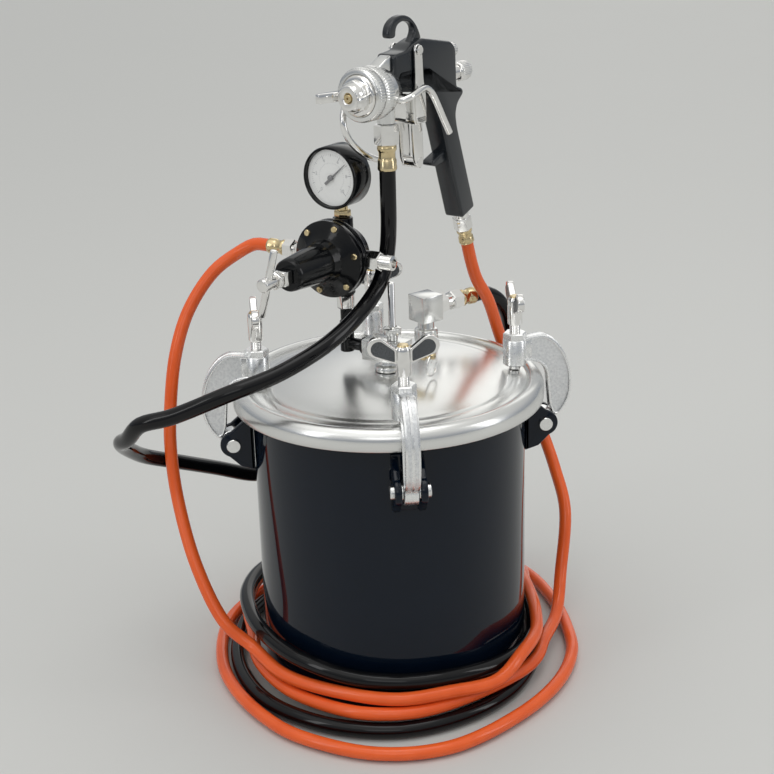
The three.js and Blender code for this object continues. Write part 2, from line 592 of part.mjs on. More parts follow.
const gripDown = inGun(-329, -944).sub(inGun(0, 0)).normalize();
const inletAt = (distance) => inGun(-113, -130).addScaledVector(gripDown, distance);
const airRing = rod(inletAt(GAP), inletAt(6), 7.6, 14);
add("gun_air_nut", join(airRing, hexagon(inletAt(5.5), inletAt(19), 15.5)), CHROME);
add("gun_air_ferrule", ferrule(inletAt(19 + GAP), inletAt(33.5), 7.4), BRASS);

// ---- hoses ----
// Fluid hose: from the outlet twice round the pot, then up and over the lid to the gun.
const FLUID_ROUTE = [
  [111, 120.4, 319.5], [125, 129, 311], [136.5, 138, 294], [143, 149, 267], [147, 160, 220],
  [143, 166, 150], [125, 168, 85], [85, 162, 30], [35, 158, 9.7], [-30, 158, 7.9], [-90, 136, 7.6],
  [-135, 85, 7.6], [-152, 20, 7.6], [-148, -40, 7.6], [-125, -95, 7.6], [-75, -139, 7.6], [-16, -156, 7.6],
  [40, -144, 7.6], [90, -110, 7.6], [122, -60, 7.6], [138, 0, 8], [135, 60, 12], [105, 105, 18],
  [50, 138, 26], [-10, 148, 34], [-70, 138, 43], [-118, 98, 51], [-139, 45, 54], [-138, -5, 54],
  [-126, -49, 54], [-101, -91, 52], [-55, -125, 46.5], [-11, -136, 44], [33, -132, 42.5], [75, -113, 38],
  [102, -91, 36], [116, -70, 34.5], [128, -42, 32], [136, 12, 32], [133, 35, 31], [124, 58, 34],
  [98, 98, 50], [60, 124, 68], [20, 138, 88], [-50, 140, 118], [-105, 124, 143], [-126, 110, 148],
  [-161.6, 95, 164], [-198, 65, 186], [-226, 42, 203], [-238, 10, 223], [-243, -30, 247], [-235.5, -50, 258],
  [-222, -70, 278], [-195.5, -80, 287], [-143, -90, 309], [-106, -80, 318], [-67, -60, 331],
  [-44, -42, 341], [-28, -26, 350], [-15, -10, 359], [-5, 2, 370], [1, 7, 385], [4, 7, 402],
  [4.8, 1.5, 425], [4.5, -2.6, 450],
];
const fluidStart = outletAt(OUTLET_FERRULE[1] + GAP);
const fluidEnd = inGun(0, -69.5 - GAP);
const fluidPath = [fluidStart, ...FLUID_ROUTE.map((p) => V(...p)), fluidEnd];
add("fluid_hose", wire(fluidPath, FLUID_HOSE, 8, 84), RUBBER);

// Air hose: from the regulator down to the floor, three times round, then up to the gun's grip.
const AIR_ROUTE = [
  [-112, 77.8, 393], [-128, 84, 384], [-151.5, 82, 368], [-177, 72, 335], [-192, 58, 297],
  [-200.5, 48, 247], [-203, 44, 210], [-200, 30, 165], [-186, -5, 108], [-163, -35, 62], [-140, -46, 42],
  [-112, -88, 33], [-57, -130, 32.5], [-14, -148.5, 34], [30, -143.5, 34], [76, -131, 34], [103, -107, 45],
  [123.5, -72, 45.5], [131, -38, 46.5], [134.5, 0, 46], [134, 30, 47.5], [137, 58, 43.5], [125, 95, 39],
  [98, 124, 37], [48, 160, 30], [-15, 172, 20], [-80, 160, 10], [-130, 122, 6.6], [-160, 70, 6.6],
  [-168, -7, 6.6], [-157, -62, 6.6], [-132, -115, 6.6], [-105, -149, 6.6], [-41, -187, 6.6],
  [23.5, -188, 6.6], [93, -147, 6.6], [140, -97, 6.6], [165, -45, 6.6], [171, 0, 6.6], [170, 59, 6.6],
  [155, 125, 6.6], [115, 180, 6.6], [50, 208, 6.6], [-20, 208, 6.6], [-60, 192, 10], [-105, 160, 20],
  [-130, 115, 25], [-140, 70, 24], [-137, 20, 20.5], [-134, -35, 20], [-112, -87, 19], [-83, -118, 18.5],
  [-45, -146, 21.4], [0, -151, 21.5], [48, -134, 21.4], [106, -97, 21.6], [125, -73, 20.5],
  [137, -46, 21.5], [160, 0, 25], [172, 35, 50], [182, 62, 106], [178, 90, 138], [171, 108, 165],
  [158, 118, 200], [146, 122, 235], [130, 118, 266], [112, 103, 318], [100, 97, 341], [94, 92.5, 360],
];
const airStart = sidePort(-AIR_OUT.ferrule - GAP);
const airEnd = inletAt(33.5 + GAP);
const airPath = [airStart, ...AIR_ROUTE.map((p) => V(...p)), airEnd];
add("air_hose", wire(airPath, AIR_HOSE, 8, 90), ORANGE);
export default root;
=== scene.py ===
import bpy, bmesh, json, math
from mathutils import Matrix, Vector

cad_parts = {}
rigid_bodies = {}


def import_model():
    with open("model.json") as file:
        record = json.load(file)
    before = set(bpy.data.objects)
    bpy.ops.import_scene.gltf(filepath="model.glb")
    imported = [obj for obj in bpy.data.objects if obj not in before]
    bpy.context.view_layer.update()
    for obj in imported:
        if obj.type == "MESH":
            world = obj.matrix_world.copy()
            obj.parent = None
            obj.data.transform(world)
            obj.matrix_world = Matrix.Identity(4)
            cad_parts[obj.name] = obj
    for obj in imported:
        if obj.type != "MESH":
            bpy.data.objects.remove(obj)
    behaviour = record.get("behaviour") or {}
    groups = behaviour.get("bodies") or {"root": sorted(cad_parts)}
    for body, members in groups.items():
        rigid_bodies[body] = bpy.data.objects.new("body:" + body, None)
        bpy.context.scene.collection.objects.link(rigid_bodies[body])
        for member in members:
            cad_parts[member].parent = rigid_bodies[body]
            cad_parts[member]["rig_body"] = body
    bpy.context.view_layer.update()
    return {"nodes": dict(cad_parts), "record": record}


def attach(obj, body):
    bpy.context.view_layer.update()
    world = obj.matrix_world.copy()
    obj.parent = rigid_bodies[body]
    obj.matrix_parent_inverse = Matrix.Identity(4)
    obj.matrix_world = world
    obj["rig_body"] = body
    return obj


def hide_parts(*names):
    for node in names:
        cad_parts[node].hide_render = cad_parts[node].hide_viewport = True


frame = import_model()
NODES = frame["nodes"]
MM = 0.001
rad = math.radians
BEVELLED = rad(28)

# ---------------- camera, in metres ----------------
# It stands in front and a little to the left, looks down by the pitch, and leans a little.
PITCH, PAN, ROLL = rad(20.09), rad(-6.37), rad(-1.67)
CAMERA_AT = Vector((-0.1469, -1.3066, 0.7526))
LENS, SENSOR = 71.07, 36
NEAREST, FARTHEST = 0.05, 30
back = Vector((math.sin(PAN) * math.cos(PITCH), -math.cos(PAN) * math.cos(PITCH), math.sin(PITCH)))
flat_right = Vector((math.cos(PAN), math.sin(PAN), 0))
flat_up = back.cross(flat_right)
right = flat_right * math.cos(ROLL) + flat_up * math.sin(ROLL)
up = flat_up * math.cos(ROLL) - flat_right * math.sin(ROLL)
camera_data = bpy.data.cameras.new("camera")
camera_data.lens, camera_data.sensor_width = LENS, SENSOR
camera_data.clip_start, camera_data.clip_end = NEAREST, FARTHEST
camera = bpy.data.objects.new("camera", camera_data)
bpy.context.scene.collection.objects.link(camera)
place = Matrix((right, up, back)).transposed().to_4x4()
place.translation = CAMERA_AT
camera.matrix_world = place
bpy.context.scene.camera = camera


# ---------------- materials ----------------
def look(name, color, metal=0.0, rough=(0.3, 0.4), tint=None, grain=120.0, bump=0.1, depth=0.0002, fine=900.0,
         aniso=0.0, patches=14.0, spec=0.5, detail=5.0):
    """A surface whose colour, roughness and relief all vary over noise in the object's own space.

    Patches, grain and fine are the sizes of the broad, close and relief noise, per metre. The colour runs to
    the tint, and the roughness between its two values.
    """
    made = bpy.data.materials.new(name)
    made.use_nodes = True
    tree = made.node_tree
    shader = tree.nodes["Principled BSDF"]
    link = tree.links.new
    coords = tree.nodes.new("ShaderNodeTexCoord")

    def noise(size, rich=detail):
        node = tree.nodes.new("ShaderNodeTexNoise")
        node.inputs["Scale"].default_value = size
        node.inputs["Detail"].default_value = rich
        link(coords.outputs["Object"], node.inputs["Vector"])
        return node

    broad, close = noise(patches, 3), noise(grain)
    ramp = tree.nodes.new("ShaderNodeMix")
    ramp.data_type = "RGBA"
    ramp.inputs["A"].default_value = (*color, 1)
    ramp.inputs["B"].default_value = (*(tint or [c * 0.82 for c in color]), 1)
    blend = tree.nodes.new("ShaderNodeMath")
    blend.operation = "MULTIPLY"
    link(broad.outputs["Fac"], blend.inputs[0])
    link(close.outputs["Fac"], blend.inputs[1])
    reach = tree.nodes.new("ShaderNodeMapRange")
    reach.inputs["From Min"].default_value, reach.inputs["From Max"].default_value = 0.12, 0.4
    link(blend.outputs[0], reach.inputs["Value"])
    link(reach.outputs["Result"], ramp.inputs["Factor"])
    link(ramp.outputs["Result"], shader.inputs["Base Color"])
    gloss = tree.nodes.new("ShaderNodeMapRange")
    gloss.inputs["From Min"].default_value, gloss.inputs["From Max"].default_value = 0.3, 0.7
    gloss.inputs["To Min"].default_value, gloss.inputs["To Max"].default_value = rough
    link(close.outputs["Fac"], gloss.inputs["Value"])
    link(gloss.outputs["Result"], shader.inputs["Roughness"])
    relief = tree.nodes.new("ShaderNodeBump")
    relief.inputs["Strength"].default_value = bump
    relief.inputs["Distance"].default_value = depth
    link(noise(fine).outputs["Fac"], relief.inputs["Height"])
    link(relief.outputs["Normal"], shader.inputs["Normal"])
    shader.inputs["Metallic"].default_value = metal
    shader.inputs["Anisotropic"].default_value = aniso
    shader.inputs["Specular IOR Level"].default_value = spec
    return made


# name, colour, metalness, roughness range, tint, grain
LOOKS = {
    "black_paint": look("black_paint", (0.0016, 0.0052, 0.0125), 0, (0.05, 0.08), (0.0024, 0.0062, 0.0145),
                        60, bump=0.03, fine=420, spec=0.3),
    "gun_paint": look("gun_paint", (0.010, 0.013, 0.017), 0, (0.2, 0.24), (0.012, 0.015, 0.019), 60,
                      bump=0.02, fine=420, spec=0.6),
    "lid_steel": look("lid_steel", (0.80, 0.80, 0.785), 1, (0.2, 0.24), (0.76, 0.76, 0.745), 160, bump=0.02,
                      depth=0.0001, fine=1400),
    "spun_steel": look("spun_steel", (0.80, 0.80, 0.785), 1, (0.235, 0.25), (0.785, 0.785, 0.77), 40,
                       bump=0.003, depth=0.00005, fine=900, aniso=0.45, patches=8),
    "cast_alloy": look("cast_alloy", (0.93, 0.93, 0.925), 1, (0.22, 0.34), (0.85, 0.855, 0.85), 340,
                       bump=0.12, depth=0.0003, fine=700),
    "pebbled": look("pebbled", (0.90, 0.905, 0.905), 0.85, (0.4, 0.55), (0.70, 0.71, 0.72), 420, bump=0.6,
                    depth=0.0005, fine=520, detail=2),
    "pin_steel": look("pin_steel", (0.86, 0.86, 0.84), 1, (0.18, 0.28), (0.76, 0.76, 0.75), 500, bump=0.1),
    "chrome": look("chrome", (0.90, 0.89, 0.87), 1, (0.06, 0.14), (0.82, 0.81, 0.79), 180, bump=0.04,
                   fine=650),
    "brass": look("brass", (0.75, 0.62, 0.38), 1, (0.14, 0.26), (0.62, 0.49, 0.27), 260, bump=0.06, fine=800),
    "black_satin": look("black_satin", (0.003, 0.0034, 0.0042), 0, (0.1, 0.17), (0.0045, 0.005, 0.006), 150,
                        bump=0.15, depth=0.0003, fine=260, spec=0.26),
    "black_hose": look("black_hose", (0.0025, 0.0025, 0.003), 0, (0.07, 0.12), (0.004, 0.004, 0.005), 90,
                       bump=0.08, fine=300, spec=0.3),
    "orange_hose": look("orange_hose", (0.88, 0.135, 0.028), 0, (0.14, 0.24), (0.80, 0.11, 0.02), 60,
                        bump=0.08, fine=260, spec=0.4),
    "seal_rubber": look("seal_rubber", (0.015, 0.015, 0.015), 0, (0.5, 0.7), None, 300, bump=0.3),
    "dial_white": look("dial_white", (0.92, 0.92, 0.90), 0, (0.3, 0.4), (0.88, 0.88, 0.86), 300, bump=0.02),
    "needle_black": look("needle_black", (0.26, 0.26, 0.265), 0, (0.35, 0.5), None, 300, bump=0.05),
    "dial_grey": look("dial_grey", (0.50, 0.50, 0.51), 0, (0.35, 0.5), None, 300, bump=0.02),
    "shadow_grey": look("shadow_grey", (0.16, 0.17, 0.18), 0.7, (0.3, 0.5), (0.06, 0.062, 0.065), 900,
                        bump=0.8, depth=0.0005, fine=900, detail=2),
    "floor": look("floor", (0.605, 0.605, 0.588), 0, (0.6, 0.62), (0.603, 0.603, 0.586), 1.5, bump=0.0,
                  patches=0.7),
}
spin = LOOKS["spun_steel"].node_tree
tangent = spin.nodes.new("ShaderNodeTangent")
tangent.direction_type, tangent.axis = "RADIAL", "Z"
spin.links.new(tangent.outputs["Tangent"], spin.nodes["Principled BSDF"].inputs["Tangent"])
SLOT = {entry["node"]: entry["material_slot"] for entry in frame["record"]["subparts"]}


# ---------------- shapes, in millimetres ----------------
# A shell is a pair of points and faces, and a piece is made of one or more shells.
def axes_at(origin, axis):
    """A matrix whose Z runs along the axis, with its Y level where it can be."""
    z = Vector(axis).normalized()
    near = Vector((0, 0, 1)) if abs(z.z) < 0.99 else Vector((1, 0, 0))
    y = z.cross(near).normalized()
    found = Matrix((y.cross(z), y, z)).transposed().to_4x4()
    found.translation = Vector(origin)
    return found


def turned(profile, where=None, sides=48, ripple=None):
    """A profile of (radius, height) turned about local Z. A profile that ends where it starts makes a ring.

    Ripple is (count, depth, lowest radius it shows on).
    """
    where = where or Matrix()
    closed = profile[0] == profile[-1] and profile[0][0] > 1e-6
    rows = profile[:-1] if closed else profile
    points, grid, faces = [], [], []
    for r, z in rows:
        if r < 1e-6:
            grid.append([len(points)] * sides)
            points.append(where @ Vector((0, 0, z)))
            continue
        ring = []
        for i in range(sides):
            turn = 2 * math.pi * i / sides
            shown = r
            if ripple and r > ripple[2]:
                shown = r - ripple[1] * (0.5 + 0.5 * math.cos(ripple[0] * turn))
            ring.append(len(points))
            points.append(where @ Vector((shown * math.cos(turn), shown * math.sin(turn), z)))
        grid.append(ring)
    pairs = list(zip(grid, grid[1:])) + ([(grid[-1], grid[0])] if closed else [])
    for low, high in pairs:
        for i in range(sides):
            j = (i + 1) % sides
            face = [low[i], low[j], high[j], high[i]]
            face = [v for k, v in enumerate(face) if v not in face[:k]]
            if len(face) > 2:
                faces.append(face)
    return points, faces


def rod(a, b, radius):
    """A plain round bar from a to b."""
    a, b = Vector(a), Vector(b)
    length = (b - a).length
    return turned([(0, 0), (radius, 0), (radius, length), (0, length)], axes_at(a, b - a), 32)


def hexagon(a, b, flats):
    """A nut: six flats, chamfered at both ends."""
    a, b = Vector(a), Vector(b)
    length, corner, slope = (b - a).length, flats / math.sqrt(3), 0.9
    side = [(corner * 0.9, 0), (corner, slope), (corner, length - slope), (corner * 0.9, length)]
    return turned([(0, 0), *side, (0, length)], axes_at(a, b - a), 6)


def plate(outline, low, high, where):
    """A flat outline raised from low to high in the frame of where."""
    count = len(outline)
    points = [where @ Vector((x, y, z)) for z in (low, high) for x, y in outline]
    faces = [[i, (i + 1) % count, count + (i + 1) % count, count + i] for i in range(count)]
    return points, faces + [list(range(count))[::-1], [count + i for i in range(count)]]


def eased(outline, reach=3.0, steps=4):
    """An outline whose corners are cut back by up to "reach" and rounded."""
    spots, made = [Vector(p) for p in outline], []
    for before, spot, after in zip(spots[-1:] + spots[:-1], spots, spots[1:] + spots[:1]):
        start, end = before - spot, after - spot
        a = spot + start.normalized() * min(reach, start.length * 0.48)
        b = spot + end.normalized() * min(reach, end.length * 0.48)
        for i in range(steps + 1):
            t = i / steps
            made.append(tuple(a * (1 - t) ** 2 + spot * 2 * t * (1 - t) + b * t ** 2))
    return made


def inward(outline):
    """Unit normals that point into a closed outline."""
    spots = [Vector(p) for p in outline]
    area = sum(a.x * b.y - b.x * a.y for a, b in zip(spots, spots[1:] + spots[:1]))
    found = []
    for before, after in zip(spots[-1:] + spots[:-1], spots[1:] + spots[:1]):
        way = (after - before).normalized()
        found.append(Vector((-way.y, way.x)) * (1 if area > 0 else -1))
    return found


def swept(outline, section, where, closed=False):
    """Rows of the outline moved in and along by each (inset, height) of a section, joined into a shell."""
    spots, normals, count = [Vector(p) for p in outline], inward(outline), len(outline)
    points, faces = [], []
    for inset, height in section:
        points += [where @ (p + n * inset).to_3d() + where.to_3x3() @ Vector((0, 0, height))
                   for p, n in zip(spots, normals)]
    rows = len(section)
    for row in range(rows if closed else rows - 1):
        a, b = row * count, (row + 1) % rows * count
        faces += [[a + i, a + (i + 1) % count, b + (i + 1) % count, b + i] for i in range(count)]
    if not closed:
        faces += [list(range(count))[::-1], [(rows - 1) * count + i for i in range(count)]]
    return points, faces


def soft_plate(outline, low, high, where, soft=1.0):
    """A plate whose rims are rounded over by "soft"."""
    turns = [rad(a) for a in (0, 30, 60, 90)]
    under = [(soft * (1 - math.sin(t)), low + soft * (1 - math.cos(t))) for t in turns]
    over = [(inset, low + high - z) for inset, z in under[::-1]]
    return swept(outline, under + over, where)


def piece(name, body, slot, *shells, replaces, bevel=0.0, angle=40, extra=()):
    """One visible object made of closed shells; extra holds (slot, shell) pairs of a second material."""
    mesh = bpy.data.meshes.new(name)
    points, faces, used_by = [], [], []
    slots = [slot]
    for used, (spots, around) in [(slot, s) for s in shells] + list(extra):
        if used not in slots:
            slots.append(used)
        faces += [[len(points) + i for i in face] for face in around]
        used_by += [slots.index(used)] * len(around)
        points += [Vector(p) * MM for p in spots]
    mesh.from_pydata(points, [], faces)
    for used in slots:
        mesh.materials.append(LOOKS[used])
    mesh.polygons.foreach_set("material_index", used_by)
    finish_mesh(mesh, bevel, angle)
    obj = bpy.data.objects.new(name, mesh)
    bpy.context.scene.collection.objects.link(obj)
    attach(obj, body)
    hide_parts(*replaces)
    return obj


def finish_mesh(mesh, bevel, angle):
    """Turns faces outward, rounds edges sharper than BEVELLED, and keeps those sharper than angle crisp."""
    work = bmesh.new()
    work.from_mesh(mesh)
    bmesh.ops.recalc_face_normals(work, faces=work.faces)
    if bevel:
        sharp = [e for e in work.edges if len(e.link_faces) == 2 and e.calc_face_angle(0) > BEVELLED]
        bmesh.ops.bevel(work, geom=sharp, offset=bevel * MM, segments=2, affect="EDGES", profile=0.5,
                        clamp_overlap=True)
    for face in work.faces:
        face.smooth = True
    work.to_mesh(mesh)
    work.free()
    mesh.set_sharp_from_angle(angle=rad(angle))


def refined(node, bevel):
    """The CAD node's own shape with its triangles merged into faces and its edges rounded."""
    source = NODES[node]
    work = bmesh.new()
    work.from_mesh(source.data)
    bmesh.ops.remove_doubles(work, verts=work.verts, dist=2e-6)
    bmesh.ops.dissolve_limit(work, angle_limit=rad(3), verts=work.verts, edges=work.edges)
    mesh = bpy.data.meshes.new(node + "_fine")
    work.to_mesh(mesh)
    work.free()
    mesh.materials.append(LOOKS[SLOT[node]])
    finish_mesh(mesh, bevel, 35)
    obj = bpy.data.objects.new(node + "_fine", mesh)
    bpy.context.scene.collection.objects.link(obj)
    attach(obj, source["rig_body"])
    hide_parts(node)


def smooth_line(points, spacing=6.0):
    """The centripetal curve through points, at even steps."""
    line = []
    ends = [2 * points[0] - points[1]] + points + [2 * points[-1] - points[-2]]
    for a, b, c, d in zip(ends, ends[1:], ends[2:], ends[3:]):
        ta = 0.0
        tb = ta + max((b - a).length, 1e-6) ** 0.5
        tc = tb + max((c - b).length, 1e-6) ** 0.5
        td = tc + max((d - c).length, 1e-6) ** 0.5
        steps = max(2, round((c - b).length / spacing))
        for i in range(steps):
            t = tb + (tc - tb) * i / steps
            a1 = a * ((tb - t) / (tb - ta)) + b * ((t - ta) / (tb - ta))
            a2 = b * ((tc - t) / (tc - tb)) + c * ((t - tb) / (tc - tb))
            a3 = c * ((td - t) / (td - tc)) + d * ((t - tc) / (td - tc))
            b1 = a1 * ((tc - t) / (tc - ta)) + a2 * ((t - ta) / (tc - ta))
            b2 = a2 * ((td - t) / (td - tb)) + a3 * ((t - tb) / (td - tb))
            line.append(b1 * ((tc - t) / (tc - tb)) + b2 * ((t - tb) / (tc - tb)))
    return line + [points[-1]]


def tube(name, points, radius, slot, body, replaces, detail=8):
    """A round bar or hose along a smooth curve through points, and the curve's length in metres."""
    data = bpy.data.curves.new(name, "CURVE")
    data.dimensions = "3D"
    data.bevel_depth = radius * MM
    data.bevel_resolution = detail
    data.use_fill_caps = True
    line = data.splines.new("POLY")
    route = smooth_line([Vector(p) for p in points])
    line.points.add(len(route) - 1)
    for spot, p in zip(line.points, route):
        spot.co = (*(p * MM), 1)
    line.use_smooth = True
    data.materials.append(LOOKS[slot])
    obj = bpy.data.objects.new(name, data)
    bpy.context.scene.collection.objects.link(obj)
    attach(obj, body)
    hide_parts(replaces)
    length = sum((b - a).length for a, b in zip(route, route[1:]))
    return obj, length * MM


# ---------------- the fixed places, in millimetres ----------------
GUN_AT, GUN_TURN = Vector((4.5, -3.0, 543.0)), rad(43)
AHEAD = Vector((-math.sin(GUN_TURN), -math.cos(GUN_TURN), 0))
ASIDE = Vector((math.cos(GUN_TURN), -math.sin(GUN_TURN), 0))
REG_AT, REG_TURN = Vector((-46.5, 9.7, 394.0)), rad(40)
REG_FRONT = Vector((-math.sin(REG_TURN), -math.cos(REG_TURN), 0))
REG_RIGHT = Vector((math.cos(REG_TURN), -math.sin(REG_TURN), 0))
PORTS_AT = -10
OUT_AT = Vector((48.0, 84.0, 320.0))
OUT_WAY = Vector((math.cos(rad(30)), math.sin(rad(30)), 0))
UP = Vector((0, 0, 1))
CLAMPS = {"front": -90, "right": 0, "back": 90, "left": 180}


def gun(ahead, upward=0.0, side=0.0):
    """A place measured from the middle of the gun's barrel."""
    return GUN_AT + AHEAD * ahead + UP * upward + ASIDE * side


def reg(front, across=0.0, upward=0.0):
    """A place measured from the middle of the regulator's flange."""
    return REG_AT + REG_FRONT * front + REG_RIGHT * across + UP * upward


def outlet(distance):
    """A place on the fluid outlet's axis."""
    return OUT_AT + OUT_WAY * distance


def at_clamp(side, out, upward, across):
    """A place out from the pot's axis on one clamp's side."""
    turn = rad(CLAMPS[side])
    way = Vector((math.cos(turn), math.sin(turn), 0))
    return way * out + UP * upward + way.cross(UP) * across


GRIP_DOWN = (AHEAD * -0.329 + UP * -0.944).normalized()


def inlet(distance):
    """A place on the axis of the air inlet, under the grip."""
    return gun(-113, -130) + GRIP_DOWN * distance


# ---------------- hoses ----------------
# The places that the middle of each hose passes, from the lid or regulator, round the pot, to the gun.
FLUID_ROUTE = [
    (111, 120.4, 319.5), (125, 129, 311), (136.5, 138, 294), (143, 149, 267), (147, 160, 220),
    (143, 166, 150), (125, 168, 85), (85, 162, 30), (35, 158, 9.7), (-30, 158, 7.9), (-90, 136, 7.6),
    (-135, 85, 7.6), (-152, 20, 7.6), (-148, -40, 7.6), (-125, -95, 7.6), (-75, -139, 7.6), (-16, -156, 7.6),
    (40, -144, 7.6), (90, -110, 7.6), (122, -60, 7.6), (138, 0, 8), (135, 60, 12), (105, 105, 18),
    (50, 138, 26), (-10, 148, 34), (-70, 138, 43), (-118, 98, 51), (-139, 45, 54), (-138, -5, 54),
    (-126, -49, 54), (-101, -91, 52), (-55, -125, 46.5), (-11, -136, 44), (33, -132, 42.5), (75, -113, 38),
    (102, -91, 36), (116, -70, 34.5), (128, -42, 32), (136, 12, 32), (133, 35, 31), (124, 58, 34),
    (98, 98, 50), (60, 124, 68), (20, 138, 88), (-50, 140, 118), (-105, 124, 143), (-126, 110, 148),
    (-161.6, 95, 164), (-198, 65, 186), (-226, 42, 203), (-238, 10, 223), (-243, -30, 247),
    (-235.5, -50, 258), (-222, -70, 278), (-195.5, -80, 287), (-143, -90, 309), (-106, -80, 318),
    (-67, -60, 331), (-44, -42, 341), (-28, -26, 350), (-15, -10, 359), (-5, 2, 370), (1, 7, 385),
    (4, 7, 402), (4.8, 1.5, 425), (4.5, -2.6, 450),
]
AIR_ROUTE = [
    (-112, 77.8, 393), (-128, 84, 384), (-151.5, 82, 368), (-177, 72, 335), (-192, 58, 297),
    (-200.5, 48, 247), (-203, 44, 210), (-200, 30, 165), (-186, -5, 108), (-163, -35, 62), (-140, -46, 42),
    (-112, -88, 33), (-57, -130, 32.5), (-14, -148.5, 34), (30, -143.5, 34), (76, -131, 34), (103, -107, 45),
    (123.5, -72, 45.5), (131, -38, 46.5), (134.5, 0, 46), (134, 30, 47.5), (137, 58, 43.5), (125, 95, 39),
    (98, 124, 37), (48, 160, 30), (-15, 172, 20), (-80, 160, 10), (-130, 122, 6.6), (-160, 70, 6.6),
    (-168, -7, 6.6), (-157, -62, 6.6), (-132, -115, 6.6), (-105, -149, 6.6), (-41, -187, 6.6),
    (23.5, -188, 6.6), (93, -147, 6.6), (140, -97, 6.6), (165, -45, 6.6), (171, 0, 6.6), (170, 59, 6.6),
    (155, 125, 6.6), (115, 180, 6.6), (50, 208, 6.6), (-20, 208, 6.6), (-60, 192, 10), (-105, 160, 20),
    (-130, 115, 25), (-140, 70, 24), (-137, 20, 20.5), (-134, -35, 20), (-112, -87, 19), (-83, -118, 18.5),
    (-45, -146, 21.4), (0, -151, 21.5), (48, -134, 21.4), (106, -97, 21.6), (125, -73, 20.5),
    (137, -46, 21.5), (160, 0, 25), (172, 35, 50), (182, 62, 106), (178, 90, 138), (171, 108, 165),
    (158, 118, 200), (146, 122, 235), (130, 118, 266), (112, 103, 318), (100, 97, 341), (94, 92.5, 360),
]

FLUID_RADIUS, AIR_RADIUS = 7.25, 6.0
fluid_path = [outlet(59.8), *FLUID_ROUTE, gun(0, -69.8)]
air_path = [reg(PORTS_AT, -76.3), *AIR_ROUTE, inlet(33.8)]
fluid_hose, fluid_length = tube("black_fluid_hose", fluid_path, FLUID_RADIUS, "black_hose", "pot",
                                "fluid_hose")
air_hose, air_length = tube("orange_air_hose", air_path, AIR_RADIUS, "orange_hose", "pot", "air_hose")


def ferrule(name, node, a, b, radius):
    """A swaged brass sleeve: a collar, a waist and a pressed skirt with a rolled end."""
    a, b = Vector(a), Vector(b)
    length = (b - a).length
    steps = [
        (0, 0), (0.92, 0), (1, 0.04), (1, 0.17), (0.9, 0.24), (0.86, 0.28), (0.86, 0.5), (0.9, 0.55),
        (0.97, 0.6), (0.97, 0.84), (1, 0.88), (1, 0.95), (0.94, 1), (0, 1),
    ]
    profile = [(radius * r, length * z) for r, z in steps]
    return piece(name, "pot", "brass", turned(profile, axes_at(a, b - a), 40), replaces=(node,))


fluid_start = ferrule("outlet_sleeve", "outlet_ferrule", outlet(42.5), outlet(59.5), 8.3)
fluid_end = ferrule("gun_fluid_sleeve", "gun_fluid_ferrule", gun(0, -47.8), gun(0, -69.5), 8.6)
air_start = ferrule("regulator_sleeve", "air_out_ferrule", reg(PORTS_AT, -57.8), reg(PORTS_AT, -76), 7.2)
air_end = ferrule("gun_air_sleeve", "gun_air_ferrule", inlet(19.3), inlet(33.5), 7.4)


# ---------------- pot ----------------
def arc(cx, cy, radius, start, end, steps):
    """Points on a circle from the start angle to the end angle, in degrees."""
    turns = [rad(start + (end - start) * i / steps) for i in range(steps + 1)]
    return [(cx + radius * math.cos(t), cy + radius * math.sin(t)) for t in turns]


shell = [
    (0, 0), *arc(111, 14, 14, -90, 0, 10), (125, 266), (125, 269), (130, 270), (130, 273.4), (129.4, 274),
    (122.5, 274), *arc(111, 14, 11.5, 0, -90, 8), (0, 2.5),
]
piece("tank_body", "pot", "black_paint", turned(shell, None, 160), replaces=("tank",))

CROWN_FOOT, CROWN_RISE, CROWN_RADIUS, LID_THICK = 281.5, 7, 114, 2.2
top = [(0, CROWN_FOOT + CROWN_RISE)]
top += [(r, CROWN_FOOT + CROWN_RISE * math.cos((r / CROWN_RADIUS) * math.pi / 2) ** 0.8)
        for r in (20, 40, 60, 80, 92, 102, 109)]
lid_profile = [
    *top, (112.5, 282.1), (114, 281.5), (115.2, 281.35), (126.2, 281.35), (126.8, 281), (127.4, 280.2),
    (128.2, 281.2), (129.3, 282.5), (131.5, 283.7), (134.5, 283.9), (138, 282.3), (141, 278.6),
    (142.4, 274.5), (142.5, 270), (142.2, 265.6), (141.4, 265), (140.4, 265.4), (140.3, 272), (137.8, 278),
    (134, 280.6), (131, 279.2), (126, 279.3), (114, 279.3), *[(r, z - LID_THICK) for r, z in top[:0:-1]],
    (0, 286.3),
]
piece("lid_pressing", "pot", "spun_steel", turned(lid_profile, None, 192), replaces=("lid",), angle=50)
seal = [(121.5, 274.3), (130, 274.3), (130, 279), (121.5, 279), (121.5, 274.3)]
piece("lid_seal", "pot", "seal_rubber", turned(seal, None, 96), replaces=("gasket",))

# ---------------- clamps ----------------
PIVOT = (144, 230.5)
SCREW_OUT = 118
SCREW_PITCH = 1.5
TANK_SIDE = 125.3
LUG_INSIDE, LUG_OUTSIDE = 8, 14
ARM_HALF = 5.5
SEAT, BOSS_TOP = 286.4, 311
# An arm seen from its side, as (distance out from the pot's axis, height).
CRESCENT = [
    (124, 311.4), (134, 313.2), (143, 314.2), (150, 311.2), (156, 306), (162, 298), (166, 289), (169, 279),
    (170, 268), (169.6, 258), (167.5, 250), (163, 241.5), (157, 234.5), (151.5, 237), (149.5, 246),
    (148.5, 256), (147.5, 268), (147, 277), (144, 284), (138, 288.5), (130, 289.9), (124, 290),
]
